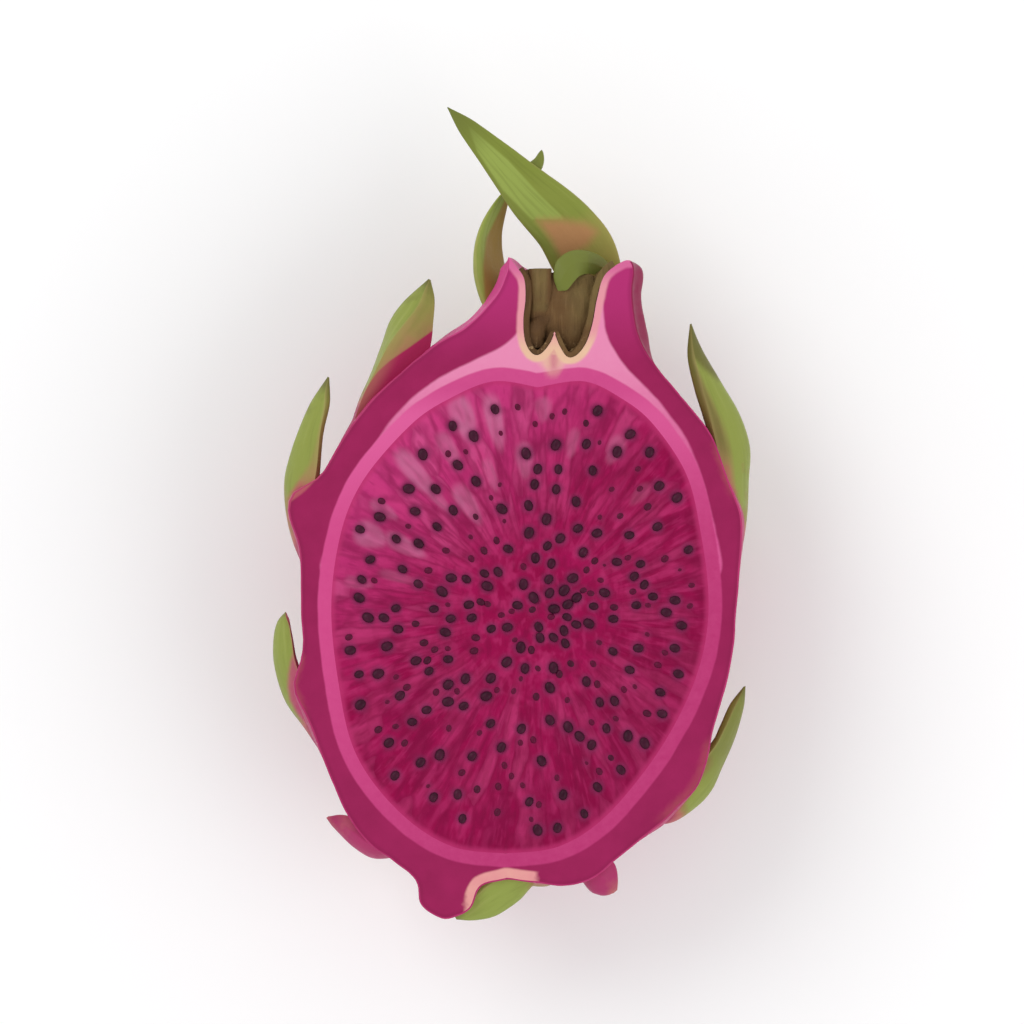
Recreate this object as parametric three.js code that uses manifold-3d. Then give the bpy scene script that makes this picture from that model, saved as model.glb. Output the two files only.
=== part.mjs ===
// A ripe red-fleshed dragon fruit, halved lengthwise and lying on its round back, cut face up.
// Units are millimetres. +Z is up and +Y runs from the stem end to the blossom end.
// The fruit is shaped about its own axis, with the cut at z = 0, and is raised onto z = 0 at the end.
import * as THREE from 'three';
import { mergeVertices } from 'three/addons/utils/BufferGeometryUtils.js';
import Module from 'manifold-3d';

const wasm = await Module();
wasm.setup();

// Driving dimensions of the half fruit.
const BELLY_RADIUS = 40.2; // widest radius of the peel
const CUT_HEIGHT = 38.5; // from the flat spot under the back up to the cut face
const STEM_END = -50; // y of the stem end of the peel
const COLLAR_TOP = 65.6; // y of the lip round the blossom pit
const PULP_RADIUS = 34.3; // widest radius of the pulp
const PULP_END = 43.5; // y of the blossom end of the pulp, and of its stem end below zero
const PIT_CENTRE = 7.4; // x of the pit that the flower left
const PIT_RADIUS = 6.9;
const PIT_FLOOR = 47.6; // y of the deepest ring of the pit
const SPUR_TOP = 52.2; // y of the spur in the middle of the pit floor
const REMNANT_WALL = 1.3; // the dried flower tissue that lines the pit
const REMNANT_RIM = COLLAR_TOP - 1.6; // y of its rim, just inside the collar's lip
const STUB_RADII = [1.7, 2.2]; // of the dried stub in the pit, at its broken end and its foot
const STUB_OFFSET = [-2.8, -2.3]; // of the stub from the pit's centre, in x and z
const LOBE_RADII = [5.8, 8.2, 8.5]; // half sizes of the lobe of peel at the stem end
const LOBE_CENTRE = [-13.6, -47.3, -2.5];
const BLOSSOM_LEAN = 9.6; // how far the collar leans towards +X
const STEM_LEAN = -2.5; // how far the stem end leans towards -X
const GAP = 0.3; // kept between neighbouring pieces
const ROOT_DEPTH = 1.8; // how far a scale starts inside the peel before it is cut back
const SCALE_THICKNESS = 9; // before the scale swells and thins along its length
const LEAST_THICKNESS = 0.6; // of any blade, at its tip
const CUPPING = 0.12; // how far a blade's edges bend back, as a share of its half width

// How finely each kind of surface is divided.
const BODY_SEGMENTS = 44;
const PEEL_RINGS = 34;
const PULP_RINGS = 22;
const PIT_SEGMENTS = 16;
const BLADE_SIDES = 8;
const BLADE_STEPS = 7;
const SPINE_STATIONS = 6;

// Outside profiles, as [radius, y] from the stem end to the blossom end.
const PEEL_OUTLINE = [
  [0, STEM_END],
  [14, -48.2],
  [26.5, -40],
  [36.3, -21],
  [BELLY_RADIUS, 3],
  [38.6, 21],
  [31.5, 36],
  [21.5, 48.5],
  [15.6, 57],
  [13.2, 64],
  [11.6, COLLAR_TOP],
  [8.6, COLLAR_TOP - 0.8],
  [0, COLLAR_TOP - 1.4],
];
const PULP_OUTLINE = [
  [0, -PULP_END],
  [10, -42],
  [19.2, -36.5],
  [28, -26],
  [32.8, -13],
  [PULP_RADIUS, 0],
  [33, 13],
  [29.2, 24.6],
  [21.4, 35],
  [15, 40],
  [8, PULP_END - 0.4],
  [0, PULP_END - 1.4],
];

// The pit's outline, from the spur in the middle of its floor out to its rim.
const PIT_OUTLINE = [
  [0, SPUR_TOP],
  [0.2 * PIT_RADIUS, SPUR_TOP - 1],
  [0.52 * PIT_RADIUS, PIT_FLOOR],
  [0.84 * PIT_RADIUS, PIT_FLOOR + 1.6],
  [PIT_RADIUS, PIT_FLOOR + 5.5],
  [PIT_RADIUS, COLLAR_TOP],
];

// Side scales and back scales grow towards the blossom end from y = base to y = tip. The angle is
// taken about the fruit's axis, in degrees below the cut face on the +X side, and swing is added
// to it by the tip. Lift is how far the middle of a scale stands off the peel, and flare is the
// same for its tip.
const SCALES = {
  scale_right_upper: { base: 13, tip: 54, angle: 13, swing: -3, lift: 3.6, flare: 7.3, width: 16 },
  scale_right_lower: { base: -38, tip: -13, angle: 13, swing: -3, lift: 1.6, flare: 3.8, width: 14 },
  scale_left_upper: { base: 35, tip: 61.6, angle: 164, swing: 6, lift: 4.8, flare: 12.2, width: 15 },
  scale_left_middle: { base: 12, tip: 44, angle: 166, swing: 3, lift: 5, flare: 14, width: 16 },
  scale_left_lower: { base: -22, tip: 0.5, angle: 167, swing: 3, lift: 3.6, flare: 4, width: 14 },
  scale_back_neck_right: { base: 37, tip: 61, angle: 52, swing: 4, lift: 3, flare: 7, width: 14 },
  scale_back_neck_middle: { base: 33, tip: 57, angle: 92, swing: 2, lift: 2.6, flare: 7, width: 15 },
  scale_back_neck_left: { base: 38, tip: 59, angle: 130, swing: -3, lift: 2.8, flare: 6.5, width: 12 },
  scale_back_upper_right: { base: 2, tip: 31, angle: 43, swing: 3, lift: 2.6, flare: 7, width: 18 },
  scale_back_upper_left: { base: 4, tip: 33, angle: 130, swing: -3, lift: 2.4, flare: 7, width: 18 },
  scale_back_middle_right: { base: -27, tip: -3, angle: 45, swing: 3, lift: 2, flare: 4.6, width: 17 },
  scale_back_middle_left: { base: -21, tip: 2, angle: 138, swing: -2, lift: 2, flare: 4.4, width: 16 },
  scale_back_stem_middle: { base: -46, tip: -26, angle: 86, swing: 2, lift: 1, flare: 1.6, width: 15 },
  scale_back_stem_left: { base: -46, tip: -27, angle: 130, swing: -3, lift: 1.4, flare: 3.6, width: 13 },
};

// The blossom crown's leaves and the stubby scales at the stem end follow spines of their own.
// Each point is [x, y, z]; faces is the direction that the blade's outer face looks in.
const BLADES = {
  crown_leaf_long: {
    spine: [[13.6, 58, -11], [12, 66, -10.5], [2.1, 77.8, -8.5], [-4.2, 85.1, -7.5], [-13.4, 93.8, -7]],
    faces: [0.1, 0.1, -1],
    width: 13,
    thickness: 4,
  },
  crown_leaf_side: {
    spine: [[-3.2, 54, -6.5], [-5.8, 63, -8.4], [-5.6, 71, -11], [-2.2, 79, -13.5]],
    faces: [-1, 0.1, -0.9],
    width: 9,
    thickness: 4,
  },
  scale_stem_front: {
    spine: [[6, -44.5, -5], [1.4, -49, -5.4], [-5, -52.8, -5.8], [-11.8, -56, -6.2]],
    faces: [0.25, -0.8, -0.7],
    width: 9,
    thickness: 4.4,
  },
  scale_stem_left: {
    spine: [[-22, -41, -6], [-28, -42, -6.2], [-32.6, -40.2, -6.6], [-36, -37, -7]],
    faces: [-0.5, -1, -0.6],
    width: 9,
    thickness: 4.4,
  },
  scale_stem_right: {
    spine: [[9, -41.5, -5.5], [13.4, -46, -5.7], [16, -48.6, -6], [17.6, -51, -6.4]],
    faces: [0.9, -0.6, -0.5],
    width: 9,
    thickness: 6.5,
  },
};

const COLOURS = {
  peel: 0xa8236a,
  pulp: 0xa21a58,
  remnant: 0x6a4d2a,
  scale: 0x93a44e,
};

const clamp01 = (value) => Math.min(Math.max(value, 0), 1);

// The fruit's axis leans: the x of its middle at a given y.
function lean(y) {
  const towardsBlossom = clamp01((y - 15) / 48);
  const towardsStem = clamp01((-10 - y) / 38);
  return BLOSSOM_LEAN * towardsBlossom ** 2 + STEM_LEAN * towardsStem ** 2;
}

function smoothProfile(outline, pieces) {
  const corners = outline.map(([radius, y]) => new THREE.Vector2(radius, y));
  const points = new THREE.SplineCurve(corners).getPoints(pieces);
  for (const point of points) {
    point.x = Math.max(point.x, 0);
  }
  points[0].x = 0;
  points[pieces].x = 0;
  return points;
}

// Moves a profile outwards along its own normals. An end on the axis stays on it.
function grownProfile(points, distance) {
  const last = points.length - 1;
  return points.map((point, i) => {
    const before = points[Math.max(i - 1, 0)];
    const after = points[Math.min(i + 1, last)];
    const along = after.clone().sub(before).normalize();
    if (point.x === 0) {
      return new THREE.Vector2(0, point.y - distance / along.x);
    }
    return new THREE.Vector2(point.x + along.y * distance, point.y - along.x * distance);
  });
}

const peelProfile = smoothProfile(PEEL_OUTLINE, PEEL_RINGS);
const pulpProfile = smoothProfile(PULP_OUTLINE, PULP_RINGS);

// Radius of the peel at a y between its stem end and the collar's lip.
function peelRadius(y) {
  const next = peelProfile.findIndex((point) => point.y >= y);
  const high = peelProfile[next];
  const low = peelProfile[next - 1];
  return THREE.MathUtils.mapLinear(y, low.y, high.y, low.x, high.x);
}

// Turns one closed geometry into a solid. Faces that a pole or a tip has squeezed flat are left out.
function solidOf(geometry) {
  const bare = geometry.clone();
  bare.deleteAttribute('normal');
  bare.deleteAttribute('uv');
  const merged = mergeVertices(bare, 1e-4);
  const corners = merged.index.array;
  const kept = [];
  for (let i = 0; i < corners.length; i += 3) {
    const [a, b, c] = [corners[i], corners[i + 1], corners[i + 2]];
    if (a !== b && b !== c && c !== a) {
      kept.push(a, b, c);
    }
  }
  return new wasm.Manifold(new wasm.Mesh({
    numProp: 3,
    vertProperties: Float32Array.from(merged.attributes.position.array),
    triVerts: Uint32Array.from(kept),
  }));
}

function geometryOf(solid) {
  const mesh = solid.getMesh();
  const geometry = new THREE.BufferGeometry();
  geometry.setAttribute('position', new THREE.BufferAttribute(mesh.vertProperties, 3));
  geometry.setIndex(new THREE.BufferAttribute(mesh.triVerts, 1));
  geometry.computeVertexNormals();
  return geometry;
}

// A body turned about the fruit's leaning axis.
function turnedBody(profile) {
  const geometry = new THREE.LatheGeometry(profile, BODY_SEGMENTS);
  const position = geometry.attributes.position;
  for (let i = 0; i < position.count; i += 1) {
    position.setX(i, position.getX(i) + lean(position.getY(i)));
  }
  return solidOf(geometry);
}

// The space between the flat spot and the knife's cut.
function keptHalf() {
  const width = 4 * BELLY_RADIUS;
  const slab = new THREE.BoxGeometry(width, 2 * width, CUT_HEIGHT);
  slab.translate(0, 0, -CUT_HEIGHT / 2);
  return solidOf(slab);
}

// The pit left by the flower, open from the given inset of its wall up to the given y.
function pitWell(inset, top) {
  const corners = PIT_OUTLINE.map(([radius, y]) => new THREE.Vector2(radius, y));
  const profile = grownProfile(corners, -inset);
  profile[profile.length - 1].y = top;
  profile.push(new THREE.Vector2(0, top));
  const geometry = new THREE.LatheGeometry(profile, PIT_SEGMENTS);
  geometry.translate(PIT_CENTRE, 0, 0);
  return solidOf(geometry);
}

// The fleshy lobe of peel that hangs over the stem end on the left.
function stemLobe() {
  const lobe = new THREE.SphereGeometry(1, 18, 12);
  lobe.scale(...LOBE_RADII);
  lobe.translate(...LOBE_CENTRE);
  return solidOf(lobe);
}

function peel(half) {
  const cavity = turnedBody(grownProfile(pulpProfile, GAP));
  const well = pitWell(0, COLLAR_TOP + 1);
  const whole = turnedBody(peelProfile).add(stemLobe());
  return whole.subtract(cavity).subtract(well).intersect(half);
}

function pulp(half) {
  return turnedBody(pulpProfile).intersect(half);
}

// The dried flower base: a papery cup in the pit, with a broken-off stub standing in it.
function flowerRemnant(half) {
  const outside = pitWell(GAP, REMNANT_RIM);
  const inside = pitWell(GAP + REMNANT_WALL, REMNANT_RIM + 1);
  const [endRadius, footRadius] = STUB_RADII;
  const [aside, below] = STUB_OFFSET;
  const stub = new THREE.CylinderGeometry(endRadius, footRadius, REMNANT_RIM - PIT_FLOOR, 12);
  stub.translate(PIT_CENTRE + aside, (REMNANT_RIM + PIT_FLOOR) / 2, below);
  return outside.subtract(inside).add(solidOf(stub).intersect(outside)).intersect(half);
}

// Width of a blade along its length, as a share of its widest.
function bladeTaper(u) {
  const root = 0.74 + 0.26 * Math.sin((Math.PI / 2) * Math.min(u / 0.35, 1));
  return root * (1 - u ** 2.6) + 0.05 * u;
}

// Thickness of a blade along its length: it swells out of the peel and thins to its tip.
function bladeSwell(u) {
  return (0.3 + 0.7 * Math.min(u / 0.35, 1)) * (1 - u) ** 0.8;
}

// A blade is a flattened tube along a curve, cupped round the fruit.
function blade(spine, facingAt, width, thickness) {
  const geometry = new THREE.CylinderGeometry(1, 1, 1, BLADE_SIDES, BLADE_STEPS);
  const position = geometry.attributes.position;
  for (let i = 0; i < position.count; i += 1) {
    const u = clamp01(position.getY(i) + 0.5);
    const side = position.getX(i);
    const depth = position.getZ(i);
    const tangent = spine.getTangent(u);
    const across = tangent.clone().cross(facingAt(u)).normalize();
    const face = across.clone().cross(tangent).normalize();
    const halfWidth = (width / 2) * bladeTaper(u);
    const halfThickness = (thickness * bladeSwell(u) + LEAST_THICKNESS) / 2;
    const cup = CUPPING * halfWidth * side ** 2;
    const point = spine.getPoint(u);
    point.addScaledVector(across, side * halfWidth);
    point.addScaledVector(face, depth * halfThickness - cup);
    position.setXYZ(i, point.x, point.y, point.z);
  }
  return solidOf(geometry);
}

// Direction away from the fruit's axis, at an angle in degrees below the cut face.
function outwards(degrees) {
  const turn = THREE.MathUtils.degToRad(degrees);
  return new THREE.Vector3(Math.cos(turn), 0, -Math.sin(turn));
}

// A scale's spine leaves the peel at its base, stands off by its lift and ends at its flare.
function scaleBlade({ base, tip, angle, swing, lift, flare, width }) {
  const points = [];
  for (let i = 0; i <= SPINE_STATIONS; i += 1) {
    const u = i / SPINE_STATIONS;
    const y = THREE.MathUtils.lerp(base, tip, u);
    const straight = THREE.MathUtils.lerp(-ROOT_DEPTH, flare, u);
    const arch = 4 * u * (1 - u) * (lift - (flare - ROOT_DEPTH) / 2);
    const distance = peelRadius(y) + straight + arch;
    const point = outwards(angle + swing * u).multiplyScalar(distance);
    points.push(point.add(new THREE.Vector3(lean(y), y, 0)));
  }
  const spine = new THREE.CatmullRomCurve3(points);
  return blade(spine, (u) => outwards(angle + swing * u), width, SCALE_THICKNESS);
}

function pathBlade({ spine, faces, width, thickness }) {
  const points = spine.map((point) => new THREE.Vector3(...point));
  const facing = new THREE.Vector3(...faces);
  return blade(new THREE.CatmullRomCurve3(points), () => facing, width, thickness);
}

const fruit = new THREE.Group();

// Every piece is made about the cut face, and stands that much above the flat spot.
function place(name, solid, colour, roughness) {
  const material = new THREE.MeshStandardMaterial({ color: colour, roughness, metalness: 0 });
  const mesh = new THREE.Mesh(geometryOf(solid), material);
  mesh.name = name;
  mesh.position.z = CUT_HEIGHT;
  fruit.add(mesh);
}

const half = keptHalf();
const peelWithGap = turnedBody(grownProfile(peelProfile, GAP)).add(stemLobe());

// Cuts a blade back from the peel and the cut face, keeping what stands outside them.
function placeBlade(name, bladeSolid) {
  place(name, bladeSolid.subtract(peelWithGap).intersect(half), COLOURS.scale, 0.5);
}

place('peel', peel(half), COLOURS.peel, 0.45);
place('pulp', pulp(half), COLOURS.pulp, 0.35);
place('flower_remnant', flowerRemnant(half), COLOURS.remnant, 0.9);
for (const [name, shape] of Object.entries(SCALES)) {
  placeBlade(name, scaleBlade(shape));
}
for (const [name, shape] of Object.entries(BLADES)) {
  placeBlade(name, pathBlade(shape));
}

export default fruit;
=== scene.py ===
# %% [markdown]
# # Half a red-fleshed dragon fruit
# The fruit was cut lengthwise and one half lies on its round back, cut face up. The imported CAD
# model is loaded first and stays as it is: it says where every piece goes, how big it is and what
# it weighs. Each piece made below takes the place of one CAD node, as its finished surface. Only
# the seeds are new: they are too small for the CAD model.

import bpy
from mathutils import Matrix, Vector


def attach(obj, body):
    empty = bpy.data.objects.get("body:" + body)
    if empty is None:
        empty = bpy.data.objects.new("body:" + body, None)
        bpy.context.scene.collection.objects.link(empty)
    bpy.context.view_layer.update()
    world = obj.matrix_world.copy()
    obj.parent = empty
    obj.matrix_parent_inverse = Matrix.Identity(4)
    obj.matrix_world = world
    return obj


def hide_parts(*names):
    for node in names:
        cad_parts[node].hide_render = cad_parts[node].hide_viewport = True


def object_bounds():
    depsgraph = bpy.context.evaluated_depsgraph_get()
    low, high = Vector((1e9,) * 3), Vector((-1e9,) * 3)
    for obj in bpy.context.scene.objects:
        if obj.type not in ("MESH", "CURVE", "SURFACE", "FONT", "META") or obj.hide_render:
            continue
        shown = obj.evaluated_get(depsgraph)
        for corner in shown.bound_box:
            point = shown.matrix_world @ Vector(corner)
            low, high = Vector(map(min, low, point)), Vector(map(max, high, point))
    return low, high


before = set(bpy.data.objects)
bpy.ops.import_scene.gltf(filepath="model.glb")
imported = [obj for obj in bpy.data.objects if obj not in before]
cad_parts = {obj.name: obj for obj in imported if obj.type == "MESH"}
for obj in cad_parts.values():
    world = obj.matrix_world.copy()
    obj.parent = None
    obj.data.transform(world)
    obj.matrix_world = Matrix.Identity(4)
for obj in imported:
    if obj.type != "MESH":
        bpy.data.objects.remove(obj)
cad_low, cad_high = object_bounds()
print("CAD box in metres:", [round(side, 4) for side in cad_high - cad_low])

# %% [markdown]
# ## Tools and units
# Everything is shaped in millimetres about the cut face (z = 0 there, +Y towards the blossom end)
# and becomes metres, raised onto the flat spot under the back, when a mesh is made. Numpy moves
# whole grids of points at once, so a skin of many thousand points is quick to build.

# %% Units and libraries
import math
import random

import bmesh
import bpy
import numpy as np
from mathutils import Vector, noise
from mathutils.geometry import delaunay_2d_cdt, intersect_point_line

MM = 0.001
CUT_HEIGHT = round(float(cad_high[2]) / MM, 2)
print("nodes to finish:", len(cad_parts), "and the cut face is", CUT_HEIGHT, "mm up")

# %% [markdown]
# ## Smooth lines
# Outlines and spines are given as a few points that a maker can read off the fruit. A Catmull-Rom
# curve runs through every one of them, so no handle has to be placed. A smooth step turns a
# measure into a soft mask, and lumps gives each point one value of smooth noise, for surfaces that
# nature never leaves even.

# %% Curves, soft steps, lumps and directions
def curve_at(points, place):
    """The curve through the points, at places counted in spans from its first point."""
    p = np.asarray(points, float)
    last = len(p) - 1
    place = np.clip(np.asarray(place, float), 0, last)
    span = np.minimum(place.astype(int), last - 1)
    t = (place - span)[..., None]
    before, start = p[np.maximum(span - 1, 0)], p[span]
    end, after = p[span + 1], p[np.minimum(span + 2, last)]
    bend = 2 * before - 5 * start + 4 * end - after
    twist = 3 * start - before - 3 * end + after
    return 0.5 * (2 * start + (end - before) * t + bend * t**2 + twist * t**3)


def soft_step(low, high, value):
    """0 below low and 1 above high, with a smooth rise between; low may be the greater one."""
    t = np.clip((np.asarray(value, float) - low) / (high - low), 0, 1)
    return t * t * (3 - 2 * t)


def lumps(points, size, seed=0.0):
    """Smooth noise between about -1 and 1 at each point, with lumps of that size in mm."""
    offset = Vector((seed, 1.7 * seed, -seed))
    flat = np.asarray(points, float).reshape(-1, 3) / size
    return np.array([noise.noise(Vector(p) + offset) for p in flat])


def unit(vectors):
    """The vectors at length 1, and 0 where one is too short to have a direction."""
    length = np.linalg.norm(vectors, axis=-1, keepdims=True)
    return np.divide(vectors, length, out=np.zeros_like(vectors), where=length > 1e-9)


print("a curve through 3 points, half way:", curve_at([[0, 0], [1, 1], [2, 0]], 1.5).round(2))

# %% [markdown]
# ## Outlines of the half
# The fruit isn't round: its collar leans, its stem end carries a fleshy lobe on the left, and two
# horns of peel stand beside the pit that the flower left. So the peel is described by three lines,
# each from the stem end over the belly and the collar's lip and down into the pit: the right edge
# of the cut, its left edge, and the back. A turned shape alone would be too even, and a sculpted
# one couldn't be measured.

# %% The three lines of the peel
RIGHT_EDGE = [
    (-2.5, -48.4), (2.8, -49.0), (8.4, -49.6), (13.0, -48.4), (17.0, -45.2),
    (20.2, -42.4), (23.4, -39.6), (26.8, -36.2), (31.2, -29.8), (35.1, -21.4),
    (38.3, -10.0), (39.9, 3.0), (40.1, 12.5), (38.9, 21.5), (35.2, 33.0),
    (28.6, 41.6), (22.8, 49.4), (21.0, 55.0), (20.5, 59.6), (20.9, 63.2),
    (20.3, 65.3), (18.2, 64.9), (15.4, 62.6), (14.1, 58.6), (13.3, 54.2),
    (12.1, 50.4), (10.4, 48.1), (8.7, 47.7), (7.3, 49.7), (6.3, 52.3),
]
LEFT_EDGE = [
    (-2.5, -48.4), (-7.0, -49.6), (-9.4, -53.6), (-13.8, -55.4), (-18.2, -53.0),
    (-19.4, -48.6), (-23.6, -45.0), (-28.2, -41.4), (-32.8, -34.2), (-37.2, -22.8),
    (-39.4, -10.0), (-40.2, 3.0), (-39.8, 12.5), (-38.2, 21.5), (-31.8, 34.0),
    (-24.2, 42.5), (-16.2, 49.4), (-9.4, 53.6), (-5.0, 58.6), (-2.7, 63.2),
    (-2.2, 66.0), (-0.9, 64.6), (0.8, 62.2), (1.1, 58.5), (0.7, 54.6),
    (0.9, 50.8), (2.1, 48.5), (3.6, 48.2), (5.3, 50.0), (6.3, 52.3),
]
BACK_LINE = [
    (0.0, -48.4), (6.0, -49.2), (10.5, -49.0), (14.5, -47.9), (18.0, -46.2),
    (21.2, -44.3), (24.2, -42.1), (27.4, -39.0), (31.9, -31.6), (36.0, -22.0),
    (39.1, -10.0), (40.2, 3.0), (39.9, 12.5), (38.5, 21.5), (32.8, 34.0),
    (26.8, 42.3), (21.0, 49.0), (17.4, 53.4), (14.7, 57.8), (13.6, 60.6),
    (12.0, 62.0), (9.8, 61.7), (8.0, 60.4), (7.1, 57.8), (6.8, 54.0),
    (5.9, 50.6), (4.2, 48.2), (2.6, 48.4), (1.2, 50.5), (0.0, 52.3),
]
LIP = 20  # the station of all three lines where the collar turns into the pit
LAST = len(BACK_LINE) - 1


def peel_point(place, turn):
    """The peel's surface, turn being the angle below the cut from the right edge round to pi."""
    right, left, back = (curve_at(line, place) for line in (RIGHT_EDGE, LEFT_EDGE, BACK_LINE))
    near_cut = np.cos(turn) ** 2
    middle = (right[..., 0] + left[..., 0]) / 2
    half_width = (right[..., 0] - left[..., 0]) / 2
    reach = half_width * near_cut + back[..., 0] * (1 - near_cut)
    edge_y = np.where(np.asarray(turn) < math.pi / 2, right[..., 1], left[..., 1])
    y = edge_y * near_cut + back[..., 1] * (1 - near_cut)
    return np.stack([middle + reach * np.cos(turn), y, -reach * np.sin(turn)], -1)


belly = peel_point(np.array(11.0), np.array(math.pi / 2))
print("deepest point of the back, mm:", belly.round(1))

# %% [markdown]
# ## Where the scales grow
# Each scale is a fleshy leaf that leaves the skin near its base and stands off towards its tip.
# The table follows the CAD model: where its base and tip are along the fruit, its angle below the
# cut and how far that swings by the tip, how far its middle and tip stand off, and its width. The
# last two values are the shares of its length at which it turns green and comes free of the skin.
# The skin needs the same values as the scales do, because it swells under every root. The first
# five stand at the cut and get an outline of their own later, so only their roots are used here.

# %% The scales' places
SCALES = {
    "scale_right_upper": (13, 54, 13, -3, 3.6, 7.3, 16, 0.22, 0.50),
    "scale_right_lower": (-38, -13, 13, -3, 1.6, 3.8, 14, 0.50, 0.64),
    "scale_left_upper": (35, 61.6, 164, 6, 4.8, 11.8, 15, 0.36, 0.56),
    "scale_left_middle": (12, 44, 166, 3, 4.2, 13, 16, 0.30, 0.47),
    "scale_left_lower": (-22, 0.5, 167, 3, 3.2, 4, 14, 0.20, 0.70),
    "scale_back_neck_right": (37, 61, 52, 4, 3, 7, 14, 0.30, 0.42),
    "scale_back_neck_middle": (33, 57, 92, 2, 2.6, 7, 15, 0.30, 0.42),
    "scale_back_neck_left": (38, 58, 128, -4, 2.2, 3.4, 12, 0.30, 0.42),
    "scale_back_upper_right": (2, 31, 43, 3, 2.6, 7, 18, 0.30, 0.40),
    "scale_back_upper_left": (4, 33, 130, -3, 2.4, 7, 18, 0.30, 0.40),
    "scale_back_middle_right": (-27, -3, 45, 3, 2, 4.6, 17, 0.32, 0.45),
    "scale_back_middle_left": (-21, 2, 138, -2, 2, 4.4, 16, 0.32, 0.45),
    "scale_back_stem_middle": (-43, -26, 86, 2, 1, 1.6, 15, 0.36, 0.50),
    "scale_back_stem_left": (-46, -27, 130, -3, 1.4, 3.6, 13, 0.34, 0.45),
}
OUTSIDE = np.linspace(0, LIP, 241)


def skin_spot(y, turn):
    """The point of the outside skin at that y and angle, for the foot of a scale."""
    line = peel_point(OUTSIDE, np.full(OUTSIDE.shape, turn))
    order = np.argsort(line[:, 1])
    return np.array([np.interp(y, line[order, 1], line[order, axis]) for axis in range(3)])


def outwards(turn):
    """The way straight out of the fruit at that angle below the cut."""
    return np.array([math.cos(turn), 0.0, -math.sin(turn)])


ROOT_SHARE = 0.1  # how far along the scale its root is taken to lie
ROOTS = []
for base, tip, angle, swing, *_, width, _, _ in SCALES.values():
    root_turn = math.radians(angle + swing * ROOT_SHARE)
    ROOTS.append((skin_spot(base + ROOT_SHARE * (tip - base), root_turn), width))
print("scale roots on the skin:", len(ROOTS))

# %% [markdown]
# ## Skin
# The skin swells into a ridge below each scale, as the scale is a continuation of it. Two more
# ridges run up the outsides of the horns, where the scales of the flower tube grew. Round the stem
# the skin ends in a sunken woody scar. Each of these is a number of millimetres that a point moves
# along its normal, so they add up like strokes of a clay tool.

# %% Swellings of the skin
ROOT_SWELL = 1.5
SWELL_BELOW, SWELL_ABOVE = 9.0, 6.0  # how far it runs along the fruit from a scale's root
CUT_SHOULDERS = (
    # x and y at the cut, how far it stands out, and its length below and above
    (-38.9, 20.6, 4.1, 6.0, 3.5),
    (-39.3, -12.5, 2.5, 5.5, 4.0),
    (38.9, 19.0, 0.9, 7.0, 5.0),
    (31.5, -29.6, 1.7, 4.5, 6.0),
)
SHOULDER_DEPTH = 9.0
HORN_RIDGES = (
    # how far each stands out, its angle round the flower tube in degrees, and its spread
    (2.5, 22, 13), (1.6, 158, 12),
)
TUBE_MIDDLE = 8.5  # the x of the flower tube's middle
STEM_SCAR = np.array([-0.5, -48.8, -9.8])
SCAR_RADIUS = 5.6
SCAR_RIM, SCAR_SUNK = 0.7, 1.3
print("swellings of the skin:", len(ROOTS) + len(CUT_SHOULDERS) + len(HORN_RIDGES))

# %% How far each point of the skin moves
def tube_angle(points):
    """Degrees round the flower tube below the cut, 0 on the right and 180 on the left."""
    return np.degrees(np.arctan2(-points[:, 2], points[:, 0] - TUBE_MIDDLE))


def swelling(points):
    """Millimetres of outward movement of the skin at each point."""
    move = np.zeros(len(points))
    for root, width in ROOTS:
        apart = points - root
        along = apart[:, 1]
        across = np.hypot(apart[:, 0], apart[:, 2])
        length = np.where(along < 0, SWELL_BELOW, SWELL_ABOVE)
        move += ROOT_SWELL * np.exp(-((along / length) ** 2) - (across / (0.42 * width)) ** 2)
    for x, y, out, below, above in CUT_SHOULDERS:
        along = points[:, 1] - y
        length = np.where(along < 0, below, above)
        side_on = soft_step(16, 8, np.abs(points[:, 0] - x))
        down = (points[:, 2] + 2.0) / SHOULDER_DEPTH
        move += out * side_on * np.exp(-((along / length) ** 2) - down**2)
    turn = tube_angle(points)
    height = soft_step(44, 52, points[:, 1]) * (1 - soft_step(63.5, 66.5, points[:, 1]))
    for out, angle, spread in HORN_RIDGES:
        move += out * height * np.exp(-(((turn - angle) / spread) ** 2))
    from_scar = np.linalg.norm(points - STEM_SCAR, axis=1)
    move += SCAR_RIM * np.exp(-(((from_scar - SCAR_RADIUS) / 1.4) ** 2))
    move -= SCAR_SUNK * (1 - soft_step(0.55 * SCAR_RADIUS, SCAR_RADIUS, from_scar))
    return move


def unevenness(points):
    """Soft hollows and the faint lengthwise wrinkles of a skin that has begun to dry."""
    wrinkles = lumps(points * [1, 0.22, 1], 2.6, 5.0) * soft_step(20, 60, np.abs(points[:, 1] - 4))
    return 0.45 * lumps(points, 13) + 0.14 * lumps(points, 4.5, 2.0) + 0.16 * wrinkles


print("swell over a root, mm:", swelling(np.array([ROOTS[3][0]])).round(2))

# %% [markdown]
# ## The peel's grid
# One grid of rows along the lines and columns round the back makes the skin, the lip and the pit.
# Its columns crowd near the cut, so that the knife's edge is a real small rounding and catches the
# light. Points under the fruit are stopped at the floor, which is the flat spot it rests on.

# %% Skin, lip and pit as one grid
ROWS_PER_SPAN = 7
EDGE_TURNS = np.array([0, 0.0025, 0.006, 0.011, 0.018])
FIRST_TURN = 0.03
BACK_COLUMNS = 160
EDGE_ROUND = 0.3
place = np.linspace(0, LAST, LAST * ROWS_PER_SPAN + 1)
round_back = np.linspace(FIRST_TURN, math.pi - FIRST_TURN, BACK_COLUMNS)
turn = np.concatenate([EDGE_TURNS, round_back, math.pi - EDGE_TURNS[::-1]])
peel_grid = peel_point(place[:, None], turn[None, :])


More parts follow.
